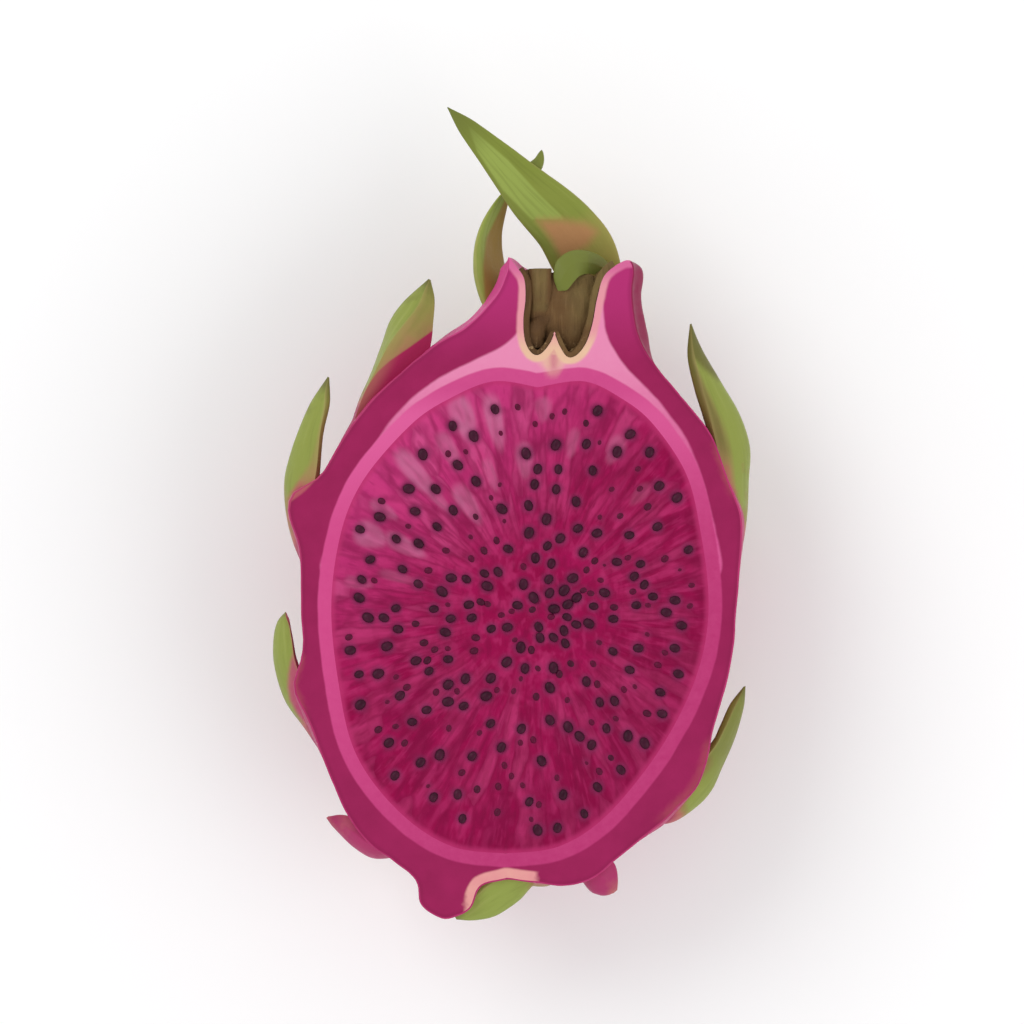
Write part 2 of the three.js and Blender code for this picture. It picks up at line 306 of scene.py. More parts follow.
def grid_normals(grid):
    """Unit normals of a grid of points, outwards for rows along a line and columns round it."""
    along = np.gradient(grid, axis=0)
    round_it = np.gradient(grid, axis=1)
    return unit(np.cross(round_it, along))


def shaped_skin(grid):
    """The grid with the swellings, the unevenness and the rounded edge of the cut."""
    normal = grid_normals(grid)
    normal[0] = (0, -1, 0)
    flat = grid.reshape(-1, 3)
    outside = 1 - soft_step(LIP - 1, LIP + 1, np.repeat(place, len(turn)))
    move = swelling(flat) * outside + unevenness(flat) * (0.35 + 0.65 * outside)
    apex = soft_step(LAST, LAST - 1.5, np.repeat(place, len(turn)))
    shaped = grid + normal * (move * apex).reshape(grid.shape[:2])[..., None]
    shaped[:, 0, 2] = 0
    shaped[:, -1, 2] = 0
    depth = np.clip(-shaped[..., 2], 0, EDGE_ROUND)
    inset = EDGE_ROUND - np.sqrt(EDGE_ROUND**2 - (EDGE_ROUND - depth) ** 2)
    shaped -= unit(normal * [1, 1, 0]) * inset[..., None]
    shaped[..., 2] = np.clip(shaped[..., 2], -CUT_HEIGHT, 0)
    shaped[0], shaped[-1] = shaped[0].mean(0), shaped[-1].mean(0)
    shaped[0, :, 2] = shaped[-1, :, 2] = 0
    return shaped


skin_grid = shaped_skin(peel_grid)
print("lowest point of the skin over the floor, mm:", round(CUT_HEIGHT + skin_grid[..., 2].min(), 2))

# %% [markdown]
# ## The cut face of the peel
# The knife left a flat band between the skin and the pulp, with the pit's outline biting into it.
# A grid can't follow such an outline, so the band is filled with scattered points and joined by a
# Delaunay triangulation, which keeps the triangles even and follows both edges exactly. Small
# triangles matter here, because the colours of the band are painted by distances that are stored
# on its points.

# %% Edges of the band
BLOSSOM_LEAN = 9.6
STEM_LEAN = -2.5
PULP_LINE = [
    (0, -43.5), (9.8, -42.2), (18.8, -36.4), (27.4, -25.6), (32.4, -13), (34.6, 0),
    (33.5, 13), (29.9, 25.0), (22.3, 35.2), (15.5, 40.2), (8.2, 43.2), (0, 42.1),
]
PULP_EDGE_DIP = 0.06


def lean(y):
    """The x of the fruit's middle at a given y."""
    to_blossom = np.clip((y - 15) / 48, 0, 1)
    to_stem = np.clip((-10 - y) / 38, 0, 1)
    return BLOSSOM_LEAN * to_blossom**2 + STEM_LEAN * to_stem**2


def pulp_lean(y):
    """The x of the pulp's middle: it lies a little askew in its peel."""
    to_left = 2.2 * np.exp(-(((y + 28) / 15) ** 2))
    to_right = 0.75 * np.exp(-(((y - 29) / 10) ** 2))
    return lean(y) - to_left + to_right


pulp_side = curve_at(PULP_LINE, np.linspace(0, len(PULP_LINE) - 1, 133))
pulp_side[0, 0] = pulp_side[-1, 0] = 0
half, y = pulp_side.T
pulp_right, pulp_left = (np.stack([pulp_lean(y) + side * half, y], -1) for side in (1, -1))
pulp_loop = np.concatenate([pulp_right, pulp_left[-2:0:-1]])
rim_loop = np.concatenate([skin_grid[:, 0, :2], skin_grid[-2:0:-1, -1, :2]])
lip_row = LIP * ROWS_PER_SPAN
skin_lines = [skin_grid[: lip_row + 1, side, :2] for side in (0, -1)]
pit_line = np.concatenate([skin_grid[lip_row:, 0, :2], skin_grid[lip_row:, -1, :2][::-1]])
print("points on the rim and round the pulp:", len(rim_loop), len(pulp_loop))

# %% Distances to a line, and what lies inside a loop
POINTS_AT_ONCE = 2000  # few enough to keep the table of distances small


def line_distance(points, line, closed=False):
    """Millimetres from each point to the nearest place on a line of points."""
    a = np.asarray(line, float)
    b = np.roll(a, -1, 0) if closed else a[1:]
    a = a if closed else a[:-1]
    run = b - a
    length = np.maximum((run**2).sum(1), 1e-12)
    nearest = np.empty(len(points))
    for start in range(0, len(points), POINTS_AT_ONCE):
        some = slice(start, start + POINTS_AT_ONCE)
        p = points[some, None, :2]
        t = np.clip(((p - a) * run).sum(-1) / length, 0, 1)
        nearest[some] = np.sqrt((((a + t[..., None] * run) - p) ** 2).sum(-1).min(1))
    return nearest


def inside(points, loop):
    """True for each point that the closed loop goes round."""
    a = np.asarray(loop, float)
    b = np.roll(a, -1, 0)
    x, y = points[:, 0, None], points[:, 1, None]
    crosses = (a[:, 1] > y) != (b[:, 1] > y)
    rise = np.where(b[:, 1] == a[:, 1], 1e-12, b[:, 1] - a[:, 1])
    at_x = a[:, 0] + (y - a[:, 1]) * (b[:, 0] - a[:, 0]) / rise
    return (crosses & (x < at_x)).sum(1) % 2 == 1


print("the middle lies inside the pulp's edge:", inside(np.zeros((1, 2)), pulp_loop)[0])

# %% Scatter points over the band
BAND_SPACING = 0.8
ROW_SHARE = 0.866  # the height of a triangle of equal sides, as a share of its side
BAND_JITTER = 0.12
SEARCH_X, SEARCH_Y = (-43, 43), (-57, 68)  # wide enough for the whole half


def band_points():
    """Scattered points inside the band, clear of its two edges."""
    draw = np.random.default_rng(11)
    row_gap = BAND_SPACING * ROW_SHARE
    found = []
    for number, y in enumerate(np.arange(*SEARCH_Y, row_gap)):
        x = np.arange(*SEARCH_X, BAND_SPACING) + (number % 2) * BAND_SPACING / 2
        found.append(np.stack([x, np.full(x.shape, y)], -1))
    found = np.concatenate(found)
    found = found + draw.uniform(-BAND_JITTER, BAND_JITTER, found.shape)
    found = found[inside(found, rim_loop) & ~inside(found, pulp_loop)]
    clear = np.minimum(line_distance(found, rim_loop, True), line_distance(found, pulp_loop, True))
    return found[clear > 0.45 * BAND_SPACING]


scattered = band_points()
print("points scattered over the band:", len(scattered))

# %% Join them into triangles
def ring_of(first, count):
    """Pairs of neighbours in a ring of that many points, from the first on."""
    return [(first + i, first + (i + 1) % count) for i in range(count)]


flat_points = np.concatenate([rim_loop, pulp_loop, scattered])
edges = ring_of(0, len(rim_loop)) + ring_of(len(rim_loop), len(pulp_loop))
joined = delaunay_2d_cdt([Vector(p) for p in flat_points], edges, [], 0, 1e-7)
band = np.array([tuple(p) for p in joined[0]])
triangles = np.array([tuple(face) for face in joined[2]])
middles = band[triangles].mean(1)
triangles = triangles[inside(middles, rim_loop) & ~inside(middles, pulp_loop)]
side_a = band[triangles[:, 1]] - band[triangles[:, 0]]
side_b = band[triangles[:, 2]] - band[triangles[:, 0]]
backwards = side_a[:, 0] * side_b[:, 1] - side_a[:, 1] * side_b[:, 0] < 0
triangles[backwards] = triangles[backwards][:, ::-1]
print("triangles in the band:", len(triangles))

# %% Relief of the band
def band_height(points):
    """Height of the band's surface above the cut, in mm: fibrous, and falling away at the pulp."""
    from_pulp = line_distance(points, pulp_loop, True)
    from_rim = line_distance(points, rim_loop, True)
    flat = np.column_stack([points[:, :2], np.zeros(len(points))])
    relief = 0.10 * lumps(flat, 3.2, 3.0) + 0.05 * lumps(flat, 1.1, 8.0)
    relief += 0.12 * np.exp(-(((from_pulp - 1.4) / 0.8) ** 2))
    relief *= soft_step(0.1, 1.0, np.minimum(from_pulp, from_rim))
    return relief - PULP_EDGE_DIP * np.exp(-((from_pulp / 0.45) ** 2))


band = np.column_stack([band, band_height(band)])
on_rim = line_distance(band, rim_loop, True) < 1e-4
band[on_rim, 2] = 0
print("relief of the band, mm:", band[:, 2].min().round(2), "to", band[:, 2].max().round(2))

# %% [markdown]
# ## Making a mesh from parts
# A piece is often several grids that share an edge. They are put into one mesh, welded where they
# meet, shaded smooth and left sharp only where two faces really turn a corner. Numbers that the
# finish needs, such as a distance from the pulp, are stored on the points as attributes, which
# travel with the mesh.

# %% Faces of a grid, and edges to weld
TOUCHING = 2e-6  # metres within which a point counts as lying on an edge


def grid_faces(rows, columns, closed=False):
    """Quads of a grid of points, facing the way that grid_normals points."""
    index = np.arange(rows * columns).reshape(rows, columns)
    if closed:
        index = np.column_stack([index, index[:, :1]])
    corners = (index[:-1, :-1], index[:-1, 1:], index[1:, 1:], index[1:, :-1])
    return np.stack(corners, -1).reshape(-1, 4)


def split_where_met(work):
    """Splits each open edge at an open point that lies on it, so that welding can close it."""
    open_edges = [edge for edge in work.edges if edge.is_boundary]
    open_points = {point for edge in open_edges for point in edge.verts}
    for edge in open_edges:
        start, end = edge.verts
        for point in open_points - {start, end}:
            nearest, share = intersect_point_line(point.co, start.co, end.co)
            if 0 < share < 1 and (nearest - point.co).length < TOUCHING:
                bmesh.utils.edge_split(edge, start, share)
                break


print("faces of 4 by 5 points:", len(grid_faces(4, 5)))

# %% An object in the scene
def in_scene(name, data):
    """A new object with that data, put into the scene."""
    made = bpy.data.objects.new(name, data)
    bpy.context.scene.collection.objects.link(made)
    return made


# %% A piece from its parts
WELD_GAP = 1.5e-6
SHARP_ANGLE = 55


def make_piece(name, parts, finishes, weld=True):
    """One mesh of parts, each (points in mm, faces, number of its finish), riding on the root."""
    corners, faces, numbers, first = [], [], [], 0
    for points, part_faces, number in parts:
        corners.append(points.reshape(-1, 3))
        faces.extend(tuple(int(corner) + first for corner in face) for face in part_faces)
        numbers.extend([number] * len(part_faces))
        first += len(corners[-1])
    placed = (np.concatenate(corners) + (0, 0, CUT_HEIGHT)) * MM
    mesh = bpy.data.meshes.new(name)
    mesh.from_pydata(placed.tolist(), [], faces)
    mesh.polygons.foreach_set("material_index", numbers)
    if weld:
        work = bmesh.new()
        work.from_mesh(mesh)
        bmesh.ops.remove_doubles(work, verts=work.verts, dist=WELD_GAP)
        split_where_met(work)
        bmesh.ops.remove_doubles(work, verts=work.verts, dist=WELD_GAP)
        loose = [v for v in work.verts if not v.link_faces]
        bmesh.ops.delete(work, geom=loose, context="VERTS")
        work.to_mesh(mesh)
        work.free()
    mesh.shade_smooth()
    mesh.set_sharp_from_angle(angle=math.radians(SHARP_ANGLE))
    for finish in finishes:
        mesh.materials.append(finish)
    piece = in_scene(name, mesh)
    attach(piece, "root")
    print(name, "has", len(mesh.vertices), "points and", len(mesh.polygons), "faces")
    return piece


print("points closer than", WELD_GAP / MM, "mm are welded")

# %% Points of a piece, and numbers kept on them
def spots(piece):
    """The piece's points in mm about the cut."""
    flat = np.empty(len(piece.data.vertices) * 3)
    piece.data.vertices.foreach_get("co", flat)
    return flat.reshape(-1, 3) / MM - (0, 0, CUT_HEIGHT)


def store(piece, name, values):
    """Keeps one number or one vector on each point of the piece."""
    values = np.asarray(values, np.float32)
    kind, field = ("FLOAT_VECTOR", "vector") if values.ndim == 2 else ("FLOAT", "value")
    layer = piece.data.attributes.new(name, kind, "POINT")
    layer.data.foreach_set(field, values.ravel())


print("meshes of the CAD model:", len(bpy.data.meshes))

# %% [markdown]
# ## Nodes in few words
# Every finish is a tree of shader nodes. These helpers add a node and wire its inputs in one call,
# so that a finish reads as a recipe. Colours are written as they look on a screen, 0 to 255, and
# turned into the linear values that light is reckoned in.

# %% Colours and nodes
LIGHT_LEVEL = 1.08  # how bright the lamps make a white surface


def tone(red, green, blue):
    """The linear colour of a surface that looks like that screen colour under the lamps."""
    linear = [((v / 255 + 0.055) / 1.055) ** 2.4 if v > 10 else v / 255 / 12.92
              for v in (red, green, blue)]
    return (*(value / LIGHT_LEVEL for value in linear), 1.0)


def wired(tree, made, inputs):
    """The node with its inputs set to values or wired to sockets."""
    for name, value in inputs.items():
        if isinstance(value, bpy.types.NodeSocket):
            tree.links.new(value, made.inputs[name])
        else:
            made.inputs[name].default_value = value
    return made


def add(tree, kind, inputs=None, **settings):
    """A new node with those settings and inputs."""
    made = tree.nodes.new("ShaderNode" + kind)
    for name, value in settings.items():
        setattr(made, name, value)
    return wired(tree, made, inputs or {})


print("rind magenta in linear light:", [round(v, 3) for v in tone(160, 32, 95)])

# %% Sums, blends and ramps
def sums(tree, operation, a, b=0.0, c=0.0, clamp=False):
    """One step of arithmetic on numbers or sockets."""
    return add(tree, "Math", {0: a, 1: b, 2: c}, operation=operation, use_clamp=clamp).outputs[0]


def times(tree, a, b):
    """The product of two numbers or sockets."""
    return sums(tree, "MULTIPLY", a, b)


def blend(tree, share, a, b):
    """Colour a with that share of colour b over it."""
    return add(tree, "Mix", {0: share, 6: a, 7: b}, data_type="RGBA").outputs[2]


def span(tree, value, low, high, to_low=0.0, to_high=1.0):
    """The value's place between low and high as a soft share, or in another range."""
    return add(tree, "MapRange", {
        "Value": value, "From Min": low, "From Max": high, "To Min": to_low, "To Max": to_high,
    }, interpolation_type="SMOOTHSTEP").outputs[0]


def ramp(tree, value, stops):
    """A colour for each place of the value, from a list of (place, colour)."""
    made = add(tree, "ValToRGB", {0: value})
    points = made.color_ramp.elements
    points[0].position, points[0].color = stops[0]
    points[1].position, points[1].color = stops[-1]
    for where, colour in stops[1:-1]:
        points.new(where).color = colour
    return made.outputs[0]


print("helpers:", [helper.__name__ for helper in (sums, times, blend, span, ramp)])

# %% Stored numbers, noise, and making a finish
def kept(tree, name, output="Fac"):
    """A number or vector that was stored on the points of the piece."""
    return add(tree, "Attribute", attribute_name=name).outputs[output]


def clouds(tree, vector, size, detail=2.0, roughness=0.5, stretch=None):
    """Noise from 0 to 1 with features of that size in the vector's own units."""
    scaled = add(tree, "Mapping", {"Vector": vector, "Scale": stretch or (1, 1, 1)}).outputs[0]
    inputs = {"Vector": scaled, "Scale": 1 / size, "Detail": detail, "Roughness": roughness}
    return add(tree, "TexNoise", inputs).outputs[0]


def new_finish(name):
    """A material with an empty tree of nodes, and that tree."""
    finish = bpy.data.materials.new(name)
    finish.use_nodes = True
    finish.node_tree.nodes.clear()
    return finish, finish.node_tree


def shade(tree, shader):
    """Makes the shader the surface of the finish."""
    add(tree, "OutputMaterial", {"Surface": shader.outputs[0]})


def millimetres_up(tree, here):
    """How far along the fruit a point is, in mm towards the blossom end."""
    return times(tree, add(tree, "SeparateXYZ", {0: here}).outputs["Y"], 1 / MM)


def relief(tree, height, depth_mm, strength):
    """A bump whose full height is that many mm, so that it has a real size."""
    inputs = {"Height": height, "Distance": depth_mm * MM, "Strength": strength}
    return add(tree, "Bump", inputs).outputs[0]


print("materials so far:", len(bpy.data.materials))

# %% [markdown]
# ## Effects that several finishes share
# Living tissue is never one colour: it has soft patches a few millimetres across and a fine grain
# of cells. Both are made once as node groups with named inputs and outputs, and every finish of
# the fruit uses them with its own sizes. The tones of a scale, from magenta root over dusty brown
# to green tip, are a third group, used by the body's scales and the leaves of the crown.

# %% Making and placing a group
def new_group(name, inputs, outputs):
    """A node group from (name, kind, default) rows, what it is given, and what it puts out."""
    tree = bpy.data.node_groups.new(name, "ShaderNodeTree")
    for way, rows in (("INPUT", inputs), ("OUTPUT", outputs)):
        for label, kind, default in rows:
            kind_name = "NodeSocket" + kind
            made = tree.interface.new_socket(name=label, in_out=way, socket_type=kind_name)
            if default is not None:
                made.default_value = default
    return tree, tree.nodes.new("NodeGroupInput").outputs, tree.nodes.new("NodeGroupOutput").inputs


def use_group(tree, group, inputs):
    """The group placed in a finish, with its own values there."""
    made = tree.nodes.new("ShaderNodeGroup")
    made.node_tree = group
    return wired(tree, made, inputs)


print("groups so far:", len(bpy.data.node_groups))

# %% Group: tissue_patches
tissue_patches, given, result = new_group(
    "tissue_patches",
    [("Vector", "Vector", None), ("Patch Size", "Float", 0.008), ("Contrast", "Float", 1.0)],
    [("Patches", "Float", None), ("Mottle", "Float", None)],
)
for socket, finer, detail, roughness in (("Patches", 1.0, 3.0, 0.55), ("Mottle", 4.6, 2.0, 0.6)):
    scale = sums(tissue_patches, "DIVIDE", finer, given["Patch Size"])
    source = add(tissue_patches, "TexNoise", {
        "Vector": given["Vector"], "Scale": scale, "Detail": detail, "Roughness": roughness,
    })
    centred = sums(tissue_patches, "MULTIPLY_ADD", source.outputs[0], 2.2, -1.1)
    spread = sums(tissue_patches, "MULTIPLY_ADD", centred, given["Contrast"], 0.5, True)
    tissue_patches.links.new(spread, result[socket])
print("group:", tissue_patches.name)

# %% Group: tissue_grain
tissue_grain, given, result = new_group(
    "tissue_grain",
    [("Vector", "Vector", None), ("Grain Size", "Float", 0.0006), ("Wax", "Float", 0.4)],
    [("Height", "Float", None), ("Roughness", "Float", None)],
)
cells = add(tissue_grain, "TexVoronoi", {
    "Vector": given["Vector"],
    "Scale": sums(tissue_grain, "DIVIDE", 1.0, given["Grain Size"]),
}, feature="SMOOTH_F1")
dust = add(tissue_grain, "TexNoise", {
    "Vector": given["Vector"],
    "Scale": sums(tissue_grain, "DIVIDE", 0.35, given["Grain Size"]),
    "Detail": 3.0,
})
grain = sums(tissue_grain, "MULTIPLY_ADD", cells.outputs[0], 0.45, dust.outputs[0])
tissue_grain.links.new(grain, result["Height"])
uneven = sums(tissue_grain, "SUBTRACT", dust.outputs[0], 0.5)
wax = sums(tissue_grain, "MULTIPLY_ADD", uneven, 0.35, given["Wax"])
tissue_grain.links.new(wax, result["Roughness"])
print("group:", tissue_grain.name)

# %% Group: scale_tones
RIND_DEEP = tone(146, 26, 80)
RIND = tone(160, 34, 92)
DUSTY = tone(180, 100, 94)
OLIVE_BROWN = tone(148, 126, 72)
LEAF_GREEN = tone(142, 152, 70)
TIP_GREEN = tone(104, 102, 52)
scale_tones, given, result = new_group(
    "scale_tones",
    [("Along", "Float", 0.0), ("Inner Face", "Float", 0.0), ("Variation", "Float", 0.5)],
    [("Color", "Color", None)],
)
varied = sums(scale_tones, "SUBTRACT", given["Variation"], 0.5)
shifted = sums(scale_tones, "MULTIPLY_ADD", varied, 0.14, given["Along"])
outer = ramp(scale_tones, shifted, [
    (0.0, RIND), (0.22, RIND), (0.33, DUSTY), (0.42, OLIVE_BROWN),
    (0.52, LEAF_GREEN), (0.80, LEAF_GREEN), (1.0, TIP_GREEN),
])
inner = ramp(scale_tones, shifted, [
    (0.0, RIND_DEEP), (0.32, RIND), (0.44, tone(178, 104, 94)), (0.56, tone(168, 130, 88)),
    (0.80, tone(150, 146, 76)), (1.0, tone(118, 114, 58)),
])
toned = blend(scale_tones, given["Inner Face"], outer, inner)
scale_tones.links.new(toned, result["Color"])
print("group:", scale_tones.name)

# %% Both effects at once, and the surface over them
def tissue(tree, patch_size, contrast, grain_size, wax):
    """Where the surface is, and what its patches and its grain at those sizes in metres put out."""
    here = add(tree, "TexCoord").outputs["Object"]
    patches = {"Vector": here, "Patch Size": patch_size, "Contrast": contrast}
    patches = use_group(tree, tissue_patches, patches)
    grain = use_group(tree, tissue_grain, {"Vector": here, "Grain Size": grain_size, "Wax": wax})
    return here, patches.outputs, grain.outputs


def surface(tree, colour, grain, bump, shine, coat=0.0, coat_roughness=0.03):
    """Makes the finish a tissue of that colour and bump, which shines that much under its coat."""
    shade(tree, add(tree, "BsdfPrincipled", {
        "Base Color": colour, "Roughness": grain["Roughness"], "Normal": bump,
        "Specular IOR Level": shine, "Coat Weight": coat, "Coat Roughness": coat_roughness,
    }))


print("groups in all:", len(bpy.data.node_groups))

# %% [markdown]
# ## Finish of the skin
# The skin is a smooth waxy rind: magenta in soft lighter and darker patches, with dusty tints
# about the roots of the scales and a brown woody scar at the stem. The tints follow distances that
# are stored on the points, so they sit exactly on the shapes that they belong to. The grain bends
# the light a little, and its wax share is what keeps the rind from looking like plastic.

# %% Finish: peel_skin
SKIN_PATCH = 0.011  # metres across one patch of the skin
SKIN_TONES = tone(158, 28, 86), tone(186, 44, 108)  # its darker and its lighter patches
SCAR_REACH = 9.0
peel_skin, tree = new_finish("peel_skin")
here, patches, grain = tissue(tree, patch_size=SKIN_PATCH, contrast=1.0, grain_size=0.0007, wax=0.48)
colour = blend(tree, patches["Patches"], *SKIN_TONES)
fleck_share = times(tree, patches["Mottle"], 0.25)
colour = blend(tree, fleck_share, colour, tone(204, 74, 132))
streaks = clouds(tree, here, 0.0016, 3.0, 0.6, (1, 0.12, 1))
colour = blend(tree, span(tree, streaks, 0.55, 0.75, 0, 0.35), colour, tone(136, 20, 72))
colour = blend(tree, kept(tree, "root_tint"), colour, tone(180, 62, 98))
# a painted highlight down the outside of the left horn and painted shade down the right one
colour = blend(tree, kept(tree, "horn_painted_highlight"), colour, tone(208, 78, 142))
colour = blend(tree, kept(tree, "horn_shade"), colour, tone(136, 24, 68))
scar = kept(tree, "from_scar")
wood = ramp(tree, sums(tree, "DIVIDE", scar, SCAR_REACH), [
    (0.0, tone(96, 70, 44)), (0.25, tone(150, 118, 74)), (0.5, tone(120, 92, 52)),
    (0.66, tone(150, 140, 82)), (0.9, tone(188, 110, 112)), (1.0, tone(180, 46, 108)),
])
colour = blend(tree, span(tree, scar, 6.0, SCAR_REACH, 1, 0), colour, wood)
height = sums(tree, "MULTIPLY_ADD", streaks, 0.8, grain["Height"])
bump = relief(tree, height, 0.10, 0.55)
surface(tree, colour, grain, bump, shine=0.16, coat=0.03, coat_roughness=0.4)
print("finish:", peel_skin.name)

# %% [markdown]
# ## Finish of the cut peel
# From the skin inwards the knife shows magenta rind, then a rosy ring that follows the pulp, and
# towards the flower a pale pink neck of softer tissue. A cream corky line edges the pit, with a
# cream wedge below the spur in the middle of its floor. The neck's own outline is drawn as a loop,
# and every point of the band knows how deep inside that loop it lies.

# %% The pale neck and the wedge under the spur
NECK_LOOP = [
    (15.0, 66.0), (15.2, 60.3), (15.8, 52.4), (19.2, 46.2), (25.8, 39.2),
    (31.6, 30.6), (35.4, 18.2), (36.8, 8.0), (30.0, 8.0), (0.0, 20.0),
    (-30.0, 8.0), (-36.6, 8.0), (-34.9, 15.0), (-32.2, 22.6), (-27.5, 30.7),
    (-22.0, 38.1), (-15.8, 43.3), (-9.2, 46.8), (-2.8, 50.0), (0.2, 53.6),
    (0.5, 58.0), (-0.4, 62.5), (0.6, 66.0),
]
neck_line = curve_at(NECK_LOOP, np.linspace(0, len(NECK_LOOP) - 1, 200))
SCALE_FADES = (
    # where the knife went through the foot of a side scale: side, from y, to y, width
    (-1, -17.0, -7.5, 0.7), (1, 22.5, 31.5, 0.9), (1, -37.0, -23.0, 1.5),
)
# the rosy root of the left middle scale, which the knife laid bare
ROOT_LEFT = [(-36.4, 27.4), (-37.5, 24.9), (-39.7, 22.7), (-42.9, 20.4), (-47, 20), (-47, 32)]
print("outline of the pale neck:", len(neck_line), "points")

# %% What the finish of the cut peel has to know
def signed_depth(points, loop):
    """How deep in mm points lie inside a loop; negative outside."""
    depth = line_distance(points, loop, True)
    depth[~inside(points, loop)] *= -1
    return depth


def band_measures(points):
    """By name, how each point of the cut peel lies to the things about it."""
    depth = signed_depth(points, neck_line)
    x, y = points[:, 0], points[:, 1]
    width = 1.0 + 2.2 * soft_step(43.8, 48.5, y)
    wedge = np.exp(-(((x - 6.0) / width) ** 4)) * soft_step(43.2, 46.4, y)
    from_skin = np.min([line_distance(points, line) for line in skin_lines], axis=0)
    by_scale = np.zeros(len(points))
    for way, low, high, fade in SCALE_FADES:
        there = soft_step(low - 1.5, low + 1.5, y) * soft_step(high + 1, high - 1, y) * (x * way > 0)
        by_scale = np.maximum(by_scale, 0.5 * there * soft_step(fade, 0.2 * fade, from_skin))
    return {
        "from_pulp": line_distance(points, pulp_loop, True),
        "from_pit": line_distance(points, pit_line),
        "from_skin": from_skin,
        "neck_depth": depth,
        "wedge": wedge * (1 - soft_step(51.5, 53.5, y)),
        # painted light: the band is painted lighter towards the upper left
        "light_side": soft_step(-45, 45, y - x),
        "stem_cream": soft_step(-10.6, -9.6, x) * soft_step(3.4, 2.6, x) * soft_step(-44, -45, y),
        "wedge_core": np.exp(-(((x - 6.2) / 0.9) ** 2)) * soft_step(44, 46, y)
        * (1 - soft_step(49, 51.8, y)),
        "by_scale": by_scale,
        "in_root": signed_depth(points, ROOT_LEFT),
    }


print("measures:", ", ".join(band_measures(band[:1])))

# %% [markdown]
# ## Layers of the cut peel, from the rind to the ring
# The finish is built up like paint: the rind covers everything, the pale neck is laid over it, and
# the ring over both. Every edge between two tones wavers a little, because tissue never ends on a
# ruled line. One noise moves them all, so that neighbouring edges stay side by side.

# %% Finish: peel_cut, its rind, neck and ring
peel_cut, tree = new_finish("peel_cut")
here, patches, grain = tissue(tree, patch_size=0.006, contrast=0.8, grain_size=0.00045, wax=0.54)
place_y = millimetres_up(tree, here)
RING_WIDTH = 2.5
waver = sums(tree, "MULTIPLY_ADD", clouds(tree, here, 0.004), 0.9, -0.45)
rind = blend(tree, patches["Patches"], tone(148, 26, 80), tone(162, 32, 90))
rind = blend(tree, span(tree, place_y, 44, 62), rind, tone(182, 46, 114))
from_skin = kept(tree, "from_skin")
rind = blend(tree, span(tree, from_skin, 0.1, 0.9, 0.3, 0), rind, tone(124, 20, 66))
# the neck and the ring are painted lighter towards the upper left, as painted light
light_side = kept(tree, "light_side")
neck_tone = blend(tree, light_side, tone(224, 124, 168), tone(234, 138, 180))
pale = blend(tree, span(tree, place_y, 24, 50), tone(208, 70, 136), neck_tone)
pale = blend(tree, times(tree, patches["Mottle"], 0.22), pale, tone(238, 156, 190))
neck = sums(tree, "MULTIPLY_ADD", waver, 0.5, kept(tree, "neck_depth"))
colour = blend(tree, span(tree, neck, -0.25, 0.35), rind, pale)
from_pulp = sums(tree, "ADD", kept(tree, "from_pulp"), times(tree, waver, 0.35))
ring = blend(tree, light_side, tone(186, 50, 112), tone(210, 72, 136))
# a painted highlight on the upper left of the ring
painted_light_ring = times(tree, span(tree, place_y, 12, 36), light_side)
ring = blend(tree, painted_light_ring, ring, tone(224, 94, 156))
ring = blend(tree, span(tree, place_y, 36, 43), ring, tone(206, 72, 136))
ring = blend(tree, times(tree, patches["Mottle"], 0.2), ring, tone(222, 92, 150))
colour = blend(tree, span(tree, from_pulp, RING_WIDTH - 0.2, RING_WIDTH + 0.2, 1, 0), colour, ring)
print("nodes so far:", len(tree.nodes))

# %% Finish: peel_cut, where it meets scales and pit
stem_cream = blend(tree, patches["Patches"], tone(228, 140, 150), tone(236, 172, 160))
at_stem = sums(tree, "ADD", from_skin, times(tree, waver, 0.5))
at_stem = times(tree, span(tree, at_stem, 1.5, 2.0, 1, 0), kept(tree, "stem_cream"))
colour = blend(tree, at_stem, colour, stem_cream)
by_scale = blend(tree, patches["Mottle"], tone(184, 76, 96), tone(174, 90, 88))
colour = blend(tree, kept(tree, "by_scale"), colour, by_scale)
root_edge = span(tree, from_skin, 0.2, 2.0)
root_tone = blend(tree, root_edge, tone(182, 92, 98), tone(186, 78, 108))
colour = blend(tree, span(tree, kept(tree, "in_root"), -0.15, 0.35, 0, 0.85), colour, root_tone)
cream = blend(tree, patches["Patches"], tone(230, 180, 152), tone(238, 200, 166))
cream = blend(tree, span(tree, place_y, 48.5, 53.5), cream, tone(232, 152, 164))
cream = blend(tree, span(tree, place_y, 60, 64.5), cream, tone(216, 104, 154))
wedge = blend(tree, kept(tree, "wedge_core"), cream, tone(206, 132, 134))
colour = blend(tree, times(tree, kept(tree, "wedge"), 0.85), colour, wedge)
from_pit = sums(tree, "ADD", kept(tree, "from_pit"), times(tree, waver, 0.6))
colour = blend(tree, span(tree, from_pit, 0.7, 1.35, 1, 0), colour, cream)
fibre_map = clouds(tree, here, 0.0011, 3.0)
bump = relief(tree, sums(tree, "ADD", grain["Height"], fibre_map), 0.08, 0.4)
surface(tree, colour, grain, bump, shine=0.14, coat=0.02, coat_roughness=0.4)
print("finish:", peel_cut.name)

# %% [markdown]
# ## The peel
# The skin grid, the band of the cut and the hollow that holds the pulp close into one body. The
# hollow is turned exactly like the pulp, and its edge shares the band's inner points.

# %% Piece: peel
def turned_half(side, turns, edge_dip):
    """Half of a body turned about the fruit's leaning middle, below the cut."""
    radius, y = side[:, None, 0], side[:, None, 1]
    x = pulp_lean(y) + radius * np.cos(turns)
    shape = np.stack([x, np.broadcast_to(y, x.shape), -radius * np.sin(turns)], -1)
    shape[..., 2] = np.minimum(shape[..., 2], -edge_dip)
    return shape


